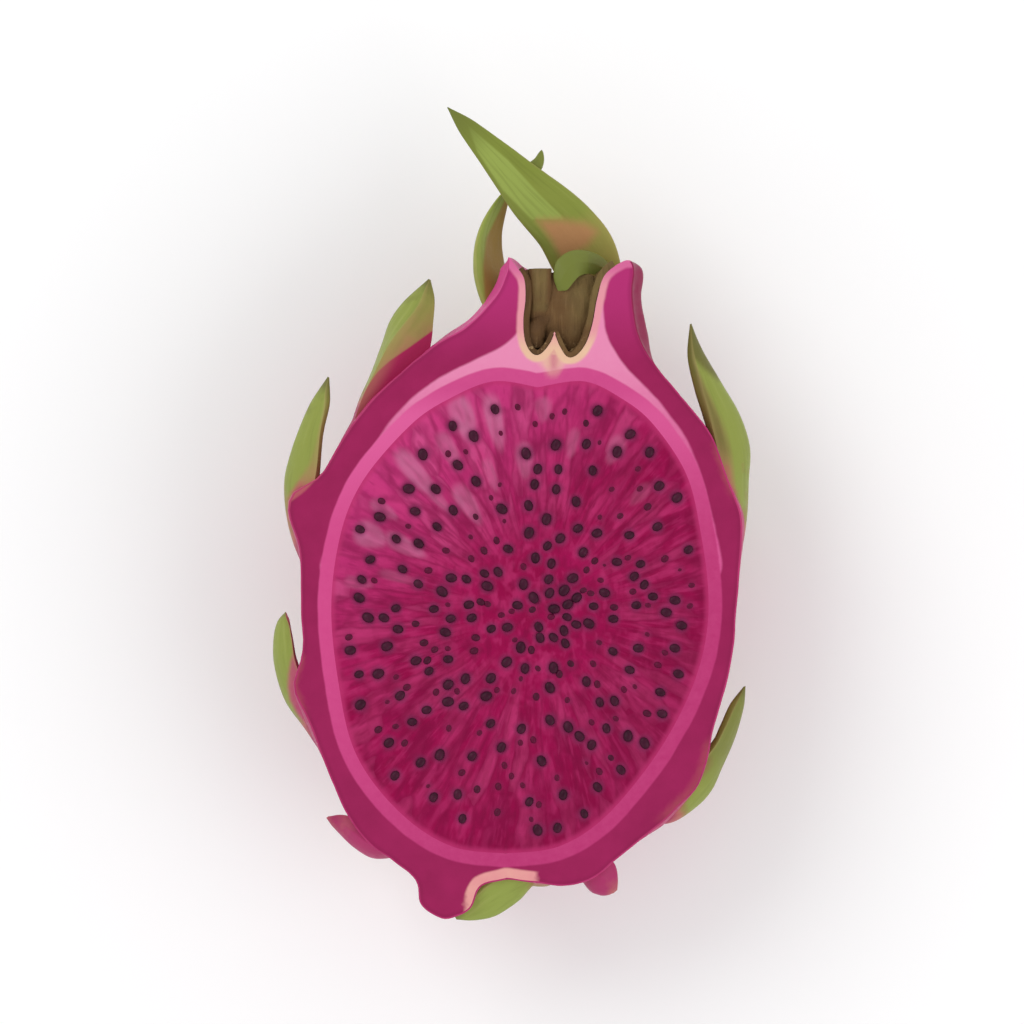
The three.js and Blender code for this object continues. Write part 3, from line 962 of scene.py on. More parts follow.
HOLLOW_COLUMNS = 33
hollow = turned_half(pulp_side, np.linspace(0, math.pi, HOLLOW_COLUMNS), PULP_EDGE_DIP)
hollow_faces = grid_faces(*hollow.shape[:2])[:, ::-1]
peel = make_piece(
    "peel",
    [
        (skin_grid[: lip_row + 1], grid_faces(lip_row + 1, len(turn)), 0),
        (skin_grid[lip_row:], grid_faces(len(place) - lip_row, len(turn)), 1),
        (band, triangles, 1),
        (hollow, hollow_faces, 1),
    ],
    [peel_skin, peel_cut],
)
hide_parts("peel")

# %% What the finish of the cut follows
FAR_OFF = 20.0  # stands for the distance of a point that is nowhere near the cut
PIT_DEPTH = 9
CUT_ZONE = 1.5  # how far below the cut a point still belongs to it
peel_spots = spots(peel)
_, y, z = peel_spots.T
near_cut = z > -CUT_ZONE
in_pit = inside(peel_spots, pit_line) & (z > -PIT_DEPTH)
for name, values in band_measures(peel_spots[near_cut]).items():
    everywhere = np.full(len(peel_spots), FAR_OFF if name.startswith("from") else 0.0)
    everywhere[near_cut] = values
    if name == "from_pit":
        everywhere[in_pit] = 0
    store(peel, name, everywhere)
print("points near the cut:", near_cut.sum(), "and in the pit:", in_pit.sum())

# %% What the skin's finish follows
root_tint = np.zeros(len(peel_spots))
for root, width in ROOTS:
    apart = (peel_spots - root) / [0.55 * width, 9.0, 0.55 * width]
    root_tint = np.maximum(root_tint, 0.55 * np.exp(-(apart**2).sum(1)))
lip_in_root = (signed_depth(peel_spots, ROOT_LEFT) > -0.3) & near_cut
root_tint = np.maximum(root_tint, 0.8 * lip_in_root)
store(peel, "root_tint", root_tint)
from_scar = np.linalg.norm(peel_spots - STEM_SCAR, axis=1)
store(peel, "from_scar", from_scar)
horn_turn = tube_angle(peel_spots)
below_cut = z < -0.02
# painted highlight on the left horn and painted shade on the right horn, below the cut
left_horn = soft_step(46, 56, y) * soft_step(100, 150, horn_turn)
store(peel, "horn_painted_highlight", 0.85 * left_horn * below_cut)
right_horn = soft_step(42, 50, y) * soft_step(80, 50, horn_turn)
store(peel, "horn_shade", 0.9 * right_horn * below_cut)
print("points in the stem's scar:", (from_scar < SCAR_RADIUS).sum())

# %% [markdown]
# ## Where the seeds lie
# Hundreds of small black seeds hang in the flesh, and the knife lays bare those near the cut: close
# together in the middle, further apart towards the edge, each pointing along the fibres. They are
# drawn one at a time from a seeded chance, and a seed is kept only if it is clear of the others.
# The flesh is shaped afterwards, because it dips and darkens round each of them.

# %% Scatter the seeds
FIBRE_HEART = np.array([3.0, 1.0])
SEED_COUNT = 260
SEED_TRIES = 60000
SEEDS_REACH = 0.925  # share of the way to the edge of the pulp
YOUNG_SHARE = 0.22
YOUNG_SIZES, RIPE_SIZES = (0.64, 0.86), (0.9, 1.14)
CLEAR_INSIDE, CLEAR_MORE = 2.4, 1.9  # mm between seeds in the middle, and how much more outside


def rim_reach(angle):
    """Distance from the fibres' heart to the edge of the pulp, at each angle."""
    apart = pulp_loop - FIBRE_HEART
    around = np.arctan2(apart[:, 1], apart[:, 0])
    order = np.argsort(around)
    return np.interp(angle, around[order], np.hypot(*apart[order].T), period=2 * math.pi)


def scattered_seeds():
    """Rows of x, y, angle, size and depth, one for each seed that shows at the cut."""
    draw = random.Random(41)
    found = []
    for _ in range(SEED_TRIES):
        angle = draw.uniform(-math.pi, math.pi)
        share = draw.random() ** 0.58
        reach = float(rim_reach(angle))
        if share > SEEDS_REACH:
            continue
        spot = FIBRE_HEART + share * reach * np.array([math.cos(angle), math.sin(angle)])
        young = draw.random() < YOUNG_SHARE
        clear = (CLEAR_INSIDE + CLEAR_MORE * share) * draw.uniform(0.68, 1.2) * (0.66 if young else 1.0)
        clear *= 1.08 if spot[1] > 8 else 0.92
        if any(math.hypot(spot[0] - s[0], spot[1] - s[1]) < clear for s in found):
            continue
        size = draw.uniform(*(YOUNG_SIZES if young else RIPE_SIZES))
        lie = angle + draw.gauss(0, 0.35)
        sunk = draw.uniform(0.1, 0.3) if young else draw.uniform(-0.25, 0.1)
        found.append((spot[0], spot[1], lie, size, sunk))
        if len(found) == SEED_COUNT:
            break
    return np.array(found)


seed_rows = scattered_seeds()
print("seeds at the cut:", len(seed_rows))

# %% [markdown]
# ## The pulp
# The flesh is a mass of fine fibres that run out from the middle. Its cut face is a polar grid from
# the heart of the fibres to the edge, so every row of points follows a fibre, and the relief that
# is laid on it is drawn out the same way. The underside is the rounded body that sits in the peel.

# %% The grid of the cut face
RAYS = 380
RINGS = 96
ray_angle = np.linspace(-math.pi, math.pi, RAYS, endpoint=False)
ray_reach = rim_reach(ray_angle)
ray_way = np.stack([np.cos(ray_angle), np.sin(ray_angle)], -1)


def pulp_face(shares):
    """Flat points on rings at those shares of the way out to the edge."""
    out = np.asarray(shares)[:, None, None] * ray_reach[:, None] * ray_way
    return np.concatenate([FIBRE_HEART + out, np.zeros((len(shares), RAYS, 1))], -1)


def fibre_space(points):
    """The direction from the heart and the way out, so that noise in it is drawn out radially."""
    apart = points[:, :2] - FIBRE_HEART
    far = np.maximum(np.hypot(*apart.T), 1e-6)
    return np.column_stack([apart / far[:, None], far / 34.0])


def pulp_height(points):
    """Height of the flesh above the cut, in mm: fibrous, dipped at each seed and at its edge."""
    space = fibre_space(points)
    from_edge = line_distance(points, pulp_loop, True)
    fibres = lumps(space * [20, 20, 6], 1.0, 4.0) * soft_step(0.3, 0.6, space[:, 2])
    coarse = lumps(space * [9, 9, 4], 1.0, 9.0) * soft_step(0.2, 0.5, space[:, 2])
    height = 0.10 + 0.06 * fibres + 0.08 * coarse + 0.09 * lumps(points, 2.4, 6.0)
    for x, y, _, size, _ in seed_rows:
        apart = np.hypot(points[:, 0] - x, points[:, 1] - y)
        close = apart < 3
        height[close] -= 0.16 * size * np.exp(-((apart[close] / (1.1 * size)) ** 2))
        height[close] += 0.03 * np.exp(-(((apart[close] - 1.7 * size) / 0.5) ** 2))
    height *= soft_step(0.0, 1.2, from_edge)
    return height - PULP_EDGE_DIP * (1 - soft_step(0, 0.9, from_edge))


ring_shares = np.linspace(0, 1, RINGS + 1)[1:] ** 0.92
face = pulp_face(ring_shares)
face[..., 2] = pulp_height(face.reshape(-1, 3)).reshape(face.shape[:2])
print("relief of the pulp, mm:", face[..., 2].min().round(2), "to", face[..., 2].max().round(2))

# %% The underside, and closing both
under_shares = np.sin(np.linspace(0, 1, 15)[1:] * math.pi / 2)
under = pulp_face(under_shares)
radius_there = np.interp(under[..., 1], pulp_side[:, 1], pulp_side[:, 0])
under_depth = radius_there**2 - (under[..., 0] - pulp_lean(under[..., 1])) ** 2
under[..., 2] = -np.sqrt(np.maximum(under_depth, 0))
under[-1, :, 2] = face[-1, :, 2]
under[..., 2] = np.minimum(under[..., 2], -PULP_EDGE_DIP)


def capped(rings, heart):
    """A closed polar grid: the heart point, then its rings, and the faces between them."""
    points = np.concatenate([[heart], rings.reshape(-1, 3)])
    count = rings.shape[1]
    faces = [(0, a, b) for a, b in ring_of(1, count)]
    body = grid_faces(rings.shape[0], count, closed=True) + 1
    return points, faces + body[:, ::-1].tolist()


top_points, top_faces = capped(face, (*FIBRE_HEART, face[0, :, 2].mean()))
low_points, low_faces = capped(under, (*FIBRE_HEART, under[0, :, 2].min()))
print("the pulp is", -under[..., 2].min().round(1), "mm deep")

# %% [markdown]
# ## Finish of the flesh
# The flesh is wet and deep red-violet. Light and dark dashes follow the fibres, and milky patches
# lie towards the upper left where the fibres are loose; they also stand for a painted highlight.
# The flesh is painted lighter to the upper left as painted light and darker to the lower right as
# painted shade. The noise is sampled in the fibres' own space, which turns round specks into
# dashes along them. A thin coat gives the wetness.

# %% Finish: flesh, its ground tones
flesh, tree = new_finish("flesh")
here, patches, grain = tissue(tree, patch_size=0.006, contrast=0.8, grain_size=0.0005, wax=0.48)
space = kept(tree, "fibre_space", "Vector")
outward = add(tree, "SeparateXYZ", {0: space}).outputs["Z"]
drawn_out = span(tree, outward, 0.26, 0.66)
fine = clouds(tree, space, 1.0, 2.0, 0.6, (38, 38, 7))
dashes = clouds(tree, space, 1.0, 1.5, 0.5, (17, 17, 4.8))
broad_streaks = clouds(tree, space, 1.0, 1.0, 0.5, (9, 9, 3.8))
blots = clouds(tree, here, 0.0034, 2.0, 0.55)
short_wisps = clouds(tree, here, 0.0016, 2.0, 0.6, (1, 0.45, 1))
colour = blend(tree, patches["Patches"], tone(138, 0, 61), tone(161, 8, 79))
# painted light on the upper left of the flesh, and painted shade on its lower right
colour = blend(tree, kept(tree, "flesh_painted_light"), colour, tone(204, 58, 128))
mid_tone = blend(tree, kept(tree, "shadow_side"), colour, tone(128, 4, 60))
light_tone = blend(tree, 0.62, mid_tone, tone(208, 62, 126))
dark_tone = blend(tree, 0.66, mid_tone, tone(112, 6, 54))
print("nodes so far:", len(tree.nodes))

# %% Finish: flesh, its pale cells
cell_space = add(tree, "Mapping", {"Vector": space, "Scale": (11, 11, 3.4)}).outputs[0]
cell_space = add(tree, "VectorMath", {
    0: add(tree, "TexNoise", {"Vector": here, "Scale": 180.0}).outputs["Color"],
    1: (0.5, 0.5, 0.5), 2: cell_space,
}, operation="MULTIPLY_ADD").outputs[0]
cell_tint = add(tree, "TexVoronoi", {"Vector": cell_space, "Scale": 1.0}).outputs["Color"]
cell_tint = add(tree, "SeparateXYZ", {0: cell_tint}).outputs["X"]
cell_edge = add(tree, "TexVoronoi", {"Vector": cell_space, "Scale": 1.0}, feature="DISTANCE_TO_EDGE")
cell_wall = span(tree, cell_edge.outputs["Distance"], 0.0, 0.16, 0.5, 0)
# the pale cells show more where the flesh is painted lit
cells_in_painted_light = sums(tree, "MULTIPLY_ADD", kept(tree, "flesh_painted_light"), 0.7, 0.3)
calm_shadow = span(tree, kept(tree, "shadow_side"), 0, 0.6, 1, 0.75)
drawn_out = times(tree, drawn_out, calm_shadow)
near_heart = span(tree, outward, 0.8, 0.25, 0.3, 1.0)
pale_cells = times(tree, span(tree, cell_tint, 0.45, 1.0, 0, 0.62), cells_in_painted_light)
pale_cells = times(tree, pale_cells, drawn_out)
colour = blend(tree, pale_cells, mid_tone, tone(214, 92, 146))
print("nodes so far:", len(tree.nodes))

# %% Finish: flesh, its dashes, milky patches with a painted highlight, and wet coat
for noise_value, light_share, dark_share, place_share in (
    (broad_streaks, 0.50, 0.62, drawn_out), (dashes, 0.40, 0.60, drawn_out),
    (fine, 0.30, 0.36, drawn_out), (blots, 0.5, 0.6, near_heart),
    (short_wisps, 0.35, 0.5, near_heart),
):
    light = span(tree, noise_value, 0.53, 0.68, 0, light_share)
    colour = blend(tree, times(tree, light, place_share), colour, light_tone)
    dark = span(tree, noise_value, 0.46, 0.32, 0, dark_share)
    colour = blend(tree, times(tree, dark, place_share), colour, dark_tone)
colour = blend(tree, times(tree, cell_wall, drawn_out), colour, dark_tone)
# milky patches of pale fibres, which also serve as a painted highlight
milky_highlight = times(tree, kept(tree, "milky_highlight"), span(tree, dashes, 0.3, 0.6, 0.62, 1.0))
colour = blend(tree, milky_highlight, colour, tone(200, 120, 158))
colour = blend(tree, kept(tree, "seed_halo"), colour, tone(132, 46, 90))
colour = blend(tree, span(tree, kept(tree, "from_edge"), 0.0, 1.3, 0.75, 0), colour, tone(188, 48, 108))
height = sums(tree, "MULTIPLY_ADD", fine, 1.2, grain["Height"])
bump = relief(tree, height, 0.08, 0.35)
surface(tree, colour, grain, bump, shine=0.09, coat=0.02, coat_roughness=0.35)
print("finish:", flesh.name)

# %% Piece: pulp
pulp = make_piece(
    "pulp",
    [(top_points, top_faces, 0), (low_points, [f[::-1] for f in low_faces], 0)],
    [flesh],
)
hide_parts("pulp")
pulp_spots = spots(pulp)
space = fibre_space(pulp_spots)
store(pulp, "fibre_space", space)
store(pulp, "from_edge", line_distance(pulp_spots, pulp_loop, True))
x, y = pulp_spots[:, :2].T
# shares of painted light towards the upper left and of painted shade towards the lower right
to_upper_left = (y - 2) * 0.79 - (x + 2) * 0.62
store(pulp, "flesh_painted_light", 0.85 * soft_step(2, 38, to_upper_left))
to_lower_right = (x - 4) * 0.66 - (y + 4) * 0.5
store(pulp, "shadow_side", 0.6 * soft_step(2, 26, to_lower_right))

# %% Milky lobes, which also carry a painted highlight, and the halo of each seed
MILKY_HIGHLIGHT_LOBES = (
    # x and y of the middle, length along the fibres and width, strength
    (-10.4, 36.4, 8.5, 4.4, 0.62), (-4.6, 35.6, 10.0, 3.4, 0.58), (-13.0, 30.4, 7.5, 3.0, 0.42),
    (-19.0, 26.2, 10.5, 3.6, 0.58), (-27.4, 14.8, 6.0, 4.6, 0.60), (-21.2, 13.0, 8.0, 3.0, 0.50),
    (-9.6, 20.6, 8.0, 3.2, 0.48), (0.8, 28.6, 6.5, 3.0, 0.42), (4.2, 38.0, 4.5, 3.0, 0.34),
    (17.4, 30.6, 5.5, 3.0, 0.36), (-25.0, 19.6, 5.5, 2.4, 0.40), (-15.2, 21.8, 7.0, 2.2, 0.34),
    (-29.6, 6.2, 5.0, 2.4, 0.26), (9.6, 31.8, 5.5, 2.2, 0.26), (-22.4, 7.2, 7.0, 2.0, 0.24),
    (22.0, 22.4, 5.0, 2.2, 0.20), (-5.4, 26.0, 6.0, 2.0, 0.28),
)
milky_highlight = np.zeros(len(pulp_spots))
for x, y, length, width, strength in MILKY_HIGHLIGHT_LOBES:
    way = unit(np.array([x, y]) - FIBRE_HEART)
    apart = pulp_spots[:, :2] - (x, y)
    along = (apart @ way) / (0.5 * length)
    across = (apart @ np.array([-way[1], way[0]])) / (0.5 * width)
    lobe = soft_step(1.3, 0.75, np.hypot(along, across * (1.1 - 0.3 * along)))
    milky_highlight = np.maximum(milky_highlight, strength * lobe)
store(pulp, "milky_highlight", milky_highlight)
seed_halo = np.zeros(len(pulp_spots))
for x, y, _, size, _ in seed_rows:
    apart = np.hypot(pulp_spots[:, 0] - x, pulp_spots[:, 1] - y)
    strength = 0.85 if size > YOUNG_SIZES[1] else 0.35
    seed_halo = np.maximum(seed_halo, strength * np.exp(-((apart / (1.32 * size)) ** 4)))
store(pulp, "seed_halo", seed_halo)
print("milky lobes:", len(MILKY_HIGHLIGHT_LOBES))

# %% [markdown]
# ## Seeds
# A seed is a flattened drop, blunt at one end and drawn in at the other, with a fine pitted skin
# under a film of juice. One drop is shaped as a small grid and laid at every place, turned along
# its fibre and sunk to its own depth. Young seeds are smaller and redder, which a number stored
# on each seed tells the finish.

# %% Finish: seed_coat
seed_coat, tree = new_finish("seed_coat")
_, patches, grain = tissue(tree, patch_size=0.0016, contrast=1.0, grain_size=0.00022, wax=0.48)
colour = blend(tree, patches["Patches"], tone(50, 11, 32), tone(75, 24, 49))
colour = blend(tree, kept(tree, "young"), colour, tone(98, 10, 52))
bump = relief(tree, grain["Height"], 0.03, 0.5)
surface(tree, colour, grain, bump, shine=0.12, coat=0.02, coat_roughness=0.3)
print("finish:", seed_coat.name)

# %% One seed
SEED_LENGTH = 1.95
SEED_HALF = np.array([0.50, 0.40, 0.27]) * SEED_LENGTH


def seed_drop(stations=9, sides=14):
    """A blunt drop along +X: rings from the broader end to the drawn-in one."""
    t = np.linspace(0, math.pi, stations + 2)[1:-1]
    girth = np.sin(t) ** 0.8 * (1 - 0.12 * (np.cos(t) > 0) * np.cos(t) ** 2)
    around = np.linspace(0, 2 * math.pi, sides, endpoint=False)
    rings = np.stack([
        np.broadcast_to(-np.cos(t)[:, None], (stations, sides)),
        girth[:, None] * np.cos(around),
        girth[:, None] * np.sin(around),
    ], -1)
    points = np.concatenate([[(-1.0, 0, 0)], rings.reshape(-1, 3), [(1.02, 0, 0)]]) * SEED_HALF
    last = len(points) - 1
    faces = [(0, b, a) for a, b in ring_of(1, sides)]
    faces += (grid_faces(stations, sides, closed=True) + 1).tolist()
    faces += [(last, a, b) for a, b in ring_of(last - sides, sides)]
    return points, faces


drop_points, drop_faces = seed_drop()
print("one seed has", len(drop_points), "points")

# %% Lay a seed at every place
SEED_RISE = 0.05
MOST_TILT = 0.16
seed_points, seed_faces, youth = [], [], []
for number, (x, y, lie, size, sunk) in enumerate(seed_rows):
    shaped = drop_points * size * (1, 1, 1.1 if number % 3 else 0.95)
    dent = 1 + 0.05 * lumps(shaped, 0.9, number)
    shaped = shaped * dent[:, None]
    tilt = MOST_TILT * math.sin(7.3 * number)
    shaped[:, 2] += shaped[:, 0] * math.tan(tilt)
    turned = shaped.copy()
    turned[:, 0] = x + shaped[:, 0] * math.cos(lie) - shaped[:, 1] * math.sin(lie)
    turned[:, 1] = y + shaped[:, 0] * math.sin(lie) + shaped[:, 1] * math.cos(lie)
    turned[:, 2] += SEED_RISE - sunk
    seed_faces += [tuple(c + number * len(drop_points) for c in f) for f in drop_faces]
    seed_points.append(turned)
    youth += [float(np.clip((RIPE_SIZES[0] - size) * 6, 0, 0.95))] * len(drop_points)
print("points of all seeds:", len(youth))

# %% Piece: seeds
seed_mesh = bpy.data.meshes.new("seeds")
placed = (np.concatenate(seed_points) + (0, 0, CUT_HEIGHT)) * MM
seed_mesh.from_pydata(placed.tolist(), [], seed_faces)
seed_mesh.shade_smooth()
seed_mesh.materials.append(seed_coat)
seeds = in_scene("seeds", seed_mesh)
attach(seeds, "root")
store(seeds, "young", np.array(youth))
print("seeds:", len(seed_rows), "with", len(seed_faces), "faces")

# %% [markdown]
# ## What the flower left
# The pit at the blossom end is lined with the dried base of the flower: a papery brown cup, pleated
# and torn at its rim, with a broken stub of the flower tube and a few dry filaments standing in it.
# The cup follows the pit's own grid, moved inwards, so it fits wherever the pit goes. The stub,
# the folded shreds beside it and the filaments are tubes along short curves.

# %% Finish: dried_tissue
dried_tissue, tree = new_finish("dried_tissue")
here, patches, grain = tissue(tree, patch_size=0.0045, contrast=1.1, grain_size=0.0004, wax=0.78)
place_y = millimetres_up(tree, here)
strands = clouds(tree, here, 0.0006, 3.0, 0.6, (1, 0.10, 1))
part = kept(tree, "tissue")
colour = ramp(tree, part, [
    (0.0, tone(90, 62, 34)), (0.3, tone(110, 80, 46)), (0.6, tone(120, 100, 58)),
    (0.85, tone(134, 102, 62)), (1.0, tone(154, 122, 78)),
])
blotches = times(tree, patches["Patches"], 0.35)
colour = blend(tree, blotches, colour, tone(76, 52, 28))
colour = blend(tree, span(tree, strands, 0.52, 0.72, 0, 0.22), colour, tone(148, 118, 76))
colour = blend(tree, span(tree, strands, 0.45, 0.30, 0, 0.25), colour, tone(62, 42, 22))
specks = span(tree, clouds(tree, here, 0.0007, 1.0), 0.62, 0.70)
low_down = span(tree, place_y, 52.5, 48.5)
speck_share = times(tree, times(tree, specks, low_down), 0.6)
colour = blend(tree, speck_share, colour, tone(176, 146, 104))
height = sums(tree, "MULTIPLY_ADD", strands, 1.6, grain["Height"])
surface(tree, colour, grain, relief(tree, height, 0.18, 0.6), shine=0.25)
print("finish:", dried_tissue.name)

# %% The cup
CUP_SUNK = 0.12
CUP_FROM = 21.4  # the station of the peel's lines where the cup's torn rim begins
pit_rows = np.arange(int(CUP_FROM * ROWS_PER_SPAN), len(place))
pit_columns = np.arange(0, len(turn), 2)
pit_wall = skin_grid[np.ix_(pit_rows, pit_columns)]
pit_inwards = grid_normals(peel_grid)[np.ix_(pit_rows, pit_columns)]
pit_turn = turn[pit_columns]
down_share = np.linspace(0, 1, len(pit_rows))[:, None]


def cup_layer(inset, pleats):
    """The pit's wall moved inwards, with pleats that fade on the floor of the cup."""
    folds = np.sin(19 * pit_turn + 2.2 * np.sin(3 * pit_turn))[None, :]
    folds = folds * (1 - soft_step(0.35, 0.9, down_share)) * pleats
    moved = pit_wall + pit_inwards * (inset + folds)[..., None]
    torn = 0.6 * np.sin(9 * pit_turn + 1) * np.sin(23 * pit_turn) - 0.4
    moved[..., 1] += torn * (1 - soft_step(0, 0.25, down_share))
    moved[..., 2] = np.minimum(moved[..., 2], -CUP_SUNK)
    moved[-1] = moved[-1].mean(0)
    return moved


cup_outside = cup_layer(0.12, 0.0)
cup_inside = cup_layer(0.8, 0.24)
cup_rings = np.concatenate([cup_outside, cup_inside[:, ::-1]], axis=1)
cup_faces = grid_faces(*cup_rings.shape[:2], closed=True)[:, ::-1].tolist()
count = cup_outside.shape[1]
cup_faces += [(i, i + 1, 2 * count - 2 - i, 2 * count - 1 - i) for i in range(count - 1)]
print("cup:", len(cup_faces), "faces")

# %% A crumpled tube
def tube(path, radii, sides, flatten=1.0, crumple=0.0, seed=0.0, stations=30):
    """A closed tube along a curve, as many radii as points; its wall may be flat or crumpled."""
    where = np.linspace(0, len(path) - 1, stations)
    middle = curve_at(path, where)
    radius = curve_at(np.asarray(radii, float)[:, None], where)
    along = unit(np.gradient(middle, axis=0))
    side = unit(np.cross(along, (0, 0, 1.0)))
    up = np.cross(side, along)
    around = np.linspace(0, 2 * math.pi, sides, endpoint=False)
    wall = side[:, None] * np.cos(around)[:, None] + up[:, None] * np.sin(around)[:, None] * flatten
    rings = middle[:, None] + wall * radius[:, None]
    if crumple:
        bumps = lumps(rings.reshape(-1, 3) * [1, 0.35, 1], 1.1, seed).reshape(rings.shape[:2])
        rings = rings + wall * (crumple * bumps)[..., None]
    points = np.concatenate([middle[:1], rings.reshape(-1, 3), middle[-1:]])
    last = len(points) - 1
    faces = (grid_faces(stations, sides, closed=True) + 1)[:, ::-1].tolist()
    faces += [(0, a, b) for a, b in ring_of(1, sides)]
    faces += [(last, b, a) for a, b in ring_of(last - sides, sides)]
    return points, faces


print("points of a tube with 6 sides:", len(tube([(0, 0, 0), (0, 1, 0)], [1, 1], 6)[0]))

# %% Stub, shreds and filaments
STRANDS = (
    # path, its radii, sides, how flat, how crumpled, seed
    ([(6.9, 48.6, -3.5), (7.0, 53, -3.3), (7.5, 58.6, -3.3), (7.8, 63.0, -3.6)],
     [3.2, 6.3, 7.2, 5.6], 34, 0.26, 0.3, 12.0),
    ([(3.2, 52.0, -2.6), (3.2, 56, -2.2), (3.7, 60, -1.8), (3.7, 63.9, -1.9)],
     [1.2, 1.9, 2.2, 2.2], 16, 0.6, 0.3, 3.0),
    ([(3.0, 49.4, -2.0), (2.6, 51.4, -1.8), (3.4, 53.6, -1.6), (5.0, 55.0, -2.0)],
     [1.4, 1.9, 1.6, 0.8], 14, 0.6, 0.25, 6.0),
    ([(9.2, 49.0, -2.7), (9.4, 53, -2.4), (10.2, 58, -2.6), (10.4, 62.8, -3.6)],
     [1.3, 3.0, 3.8, 3.0], 20, 0.34, 0.3, 8.0),
)
FILAMENTS = 7
BELOW_CUT = 0.15
flower_parts = [(cup_rings, cup_faces, 0)]


def add_to_flower(shape):
    """Adds a shape to the flower, kept just below the knife's path."""
    points, faces = shape
    points[:, 2] = np.minimum(points[:, 2], -BELOW_CUT)
    flower_parts.append((points, faces, 0))


for strand in STRANDS:
    add_to_flower(tube(*strand))
draw = random.Random(9)
for _ in range(FILAMENTS):
    x, z = draw.uniform(2.6, 11.6), draw.uniform(-3.6, -2.2)
    top = draw.uniform(56.5, 61.4)
    path = [(x, 49.2, z), (x + draw.uniform(-0.6, 0.6), 52, z + draw.uniform(-0.3, 0.3)),
            (x + draw.uniform(-1, 1), top - 3, z + draw.uniform(-0.3, 0.5)),
            (x + draw.uniform(-1.4, 1.4), top, z + draw.uniform(-0.4, 0.8))]
    add_to_flower(tube(path, [0.2, 0.2, 0.17, 0.24], 6, stations=16))
print("parts of the dried flower:", len(flower_parts))

# %% Piece: flower_remnant
flower_remnant = make_piece("flower_remnant", flower_parts, [dried_tissue])
flower_spots = spots(flower_remnant)
x, y = flower_spots[:, :2].T
tint = 0.30 + 0.30 * soft_step(7, 11, x) * soft_step(52, 57, y) - 0.28 * soft_step(7.5, 3.5, x)
tint += 0.55 * soft_step(5.8, 4.4, x) * soft_step(54.5, 57, y) * soft_step(1.6, 2.6, x)
tint += 0.16 * lumps(flower_spots, 2.2, 4.0)
store(flower_remnant, "tissue", np.clip(tint, 0, 1))
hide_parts("flower_remnant")
print("lightest and darkest tissue:", tint.max().round(2), tint.min().round(2))

# %% [markdown]
# ## Shape of a scale
# A scale is a fleshy tongue: its foot is one with the skin, it swells as it leaves, and it thins to
# a pointed and slightly curled tip. Its outer face has a low keel and its inner face is hollow, so
# from the side it shows two facets. Each is a closed grid of rings along a spine. The spines follow
# the CAD model's, so that the collision shape stays true.

# %% Width and thickness along a blade
BLADE_RINGS = 64
BLADE_SIDES = 48
ALONG_BLADE = np.linspace(0, 1, BLADE_RINGS) ** 0.9  # closer together towards the tip
ROUND_BLADE = np.linspace(0, 2 * math.pi, BLADE_SIDES, endpoint=False)


def taper(u):
    """Share of its full width that a blade has at u, from 0 at its foot to 1 at its tip."""
    root = 0.74 + 0.26 * np.sin(math.pi / 2 * np.minimum(u / 0.35, 1))
    return root * (1 - u**2.6) + 0.05 * u


def swell(u):
    """Share of its full thickness that a blade has at u."""
    return (0.3 + 0.7 * np.minimum(u / 0.35, 1)) * (1 - u) ** 0.8


def as_facts(u, side, face_side, shape):
    """What each point of a blade knows: u along it, its side from -1 to 1, 1 on its inner face."""
    facts = {"along": u, "side": side, "inner_face": soft_step(0.25, -0.25, face_side)}
    return {name: np.broadcast_to(values, shape).ravel() for name, values in facts.items()}


def ribs(u, side, width, seed):
    """Smooth noise drawn out along a blade, for a column of u and a row of sides."""
    shape = (len(u), len(side))
    across, along = np.broadcast_to(side * width * 0.5, shape), np.broadcast_to(u * 4, shape)
    return lumps(np.stack([across, along, np.zeros(shape)], -1), 1.0, seed).reshape(shape)


print("a blade is", BLADE_RINGS, "rings of", BLADE_SIDES, "points")

# %% A blade along a spine
KEEL = 0.3
CUPPING = 0.12
LEAST_THICKNESS = 0.6
FUSED_DEPTH = 3.0


def blade(spine, facing, width, thickness, seed, hollow=0.35, free_from=0.0):
    """Rings of a blade round its spine, and what its points know."""
    u = ALONG_BLADE
    along = unit(np.gradient(spine, axis=0))
    across = unit(np.cross(along, facing))
    outer = np.cross(across, along)
    side, face_side = np.cos(ROUND_BLADE), np.sin(ROUND_BLADE)
    waver = 1 + 0.05 * lumps(np.column_stack([u * 5, u * 0, u * 0]), 1.0, seed)
    half_width = width / 2 * taper(u) * waver * soft_step(1.02, 0.9, u) ** 0.5
    half_thick = (thickness * swell(u) + LEAST_THICKNESS * (1 - 0.7 * u)) / 2
    lens = np.abs(face_side)
    ridge = 1 + KEEL * (1 - np.abs(side)) ** 1.2
    dish = 1 - hollow * (1 - side**2) * soft_step(0.2, 0.6, u)[:, None]
    joined = FUSED_DEPTH * soft_step(free_from + 0.10, free_from - 0.14, u)[:, None]
    inner_rise = dish * half_thick[:, None] + joined
    rise = np.where(face_side > 0, lens * ridge * half_thick[:, None], -lens * inner_rise)
    bend = -CUPPING * half_width[:, None] * side**2
    rings = spine[:, None] + across[:, None] * (side * half_width[:, None])[..., None]
    veins = 0.09 * ribs(u[:, None], side, width, seed) * lens * np.sign(face_side)
    rings = rings + outer[:, None] * (rise + bend + veins)[..., None]
    return rings, as_facts(u[:, None], side, face_side, rise.shape)


print("a blade is fused to the skin over", FUSED_DEPTH, "mm of its depth")

# %% Closing a blade, and the spine of a scale of the body
SCALE_THICKNESS = 9.0
ROOT_DEPTH = 1.8


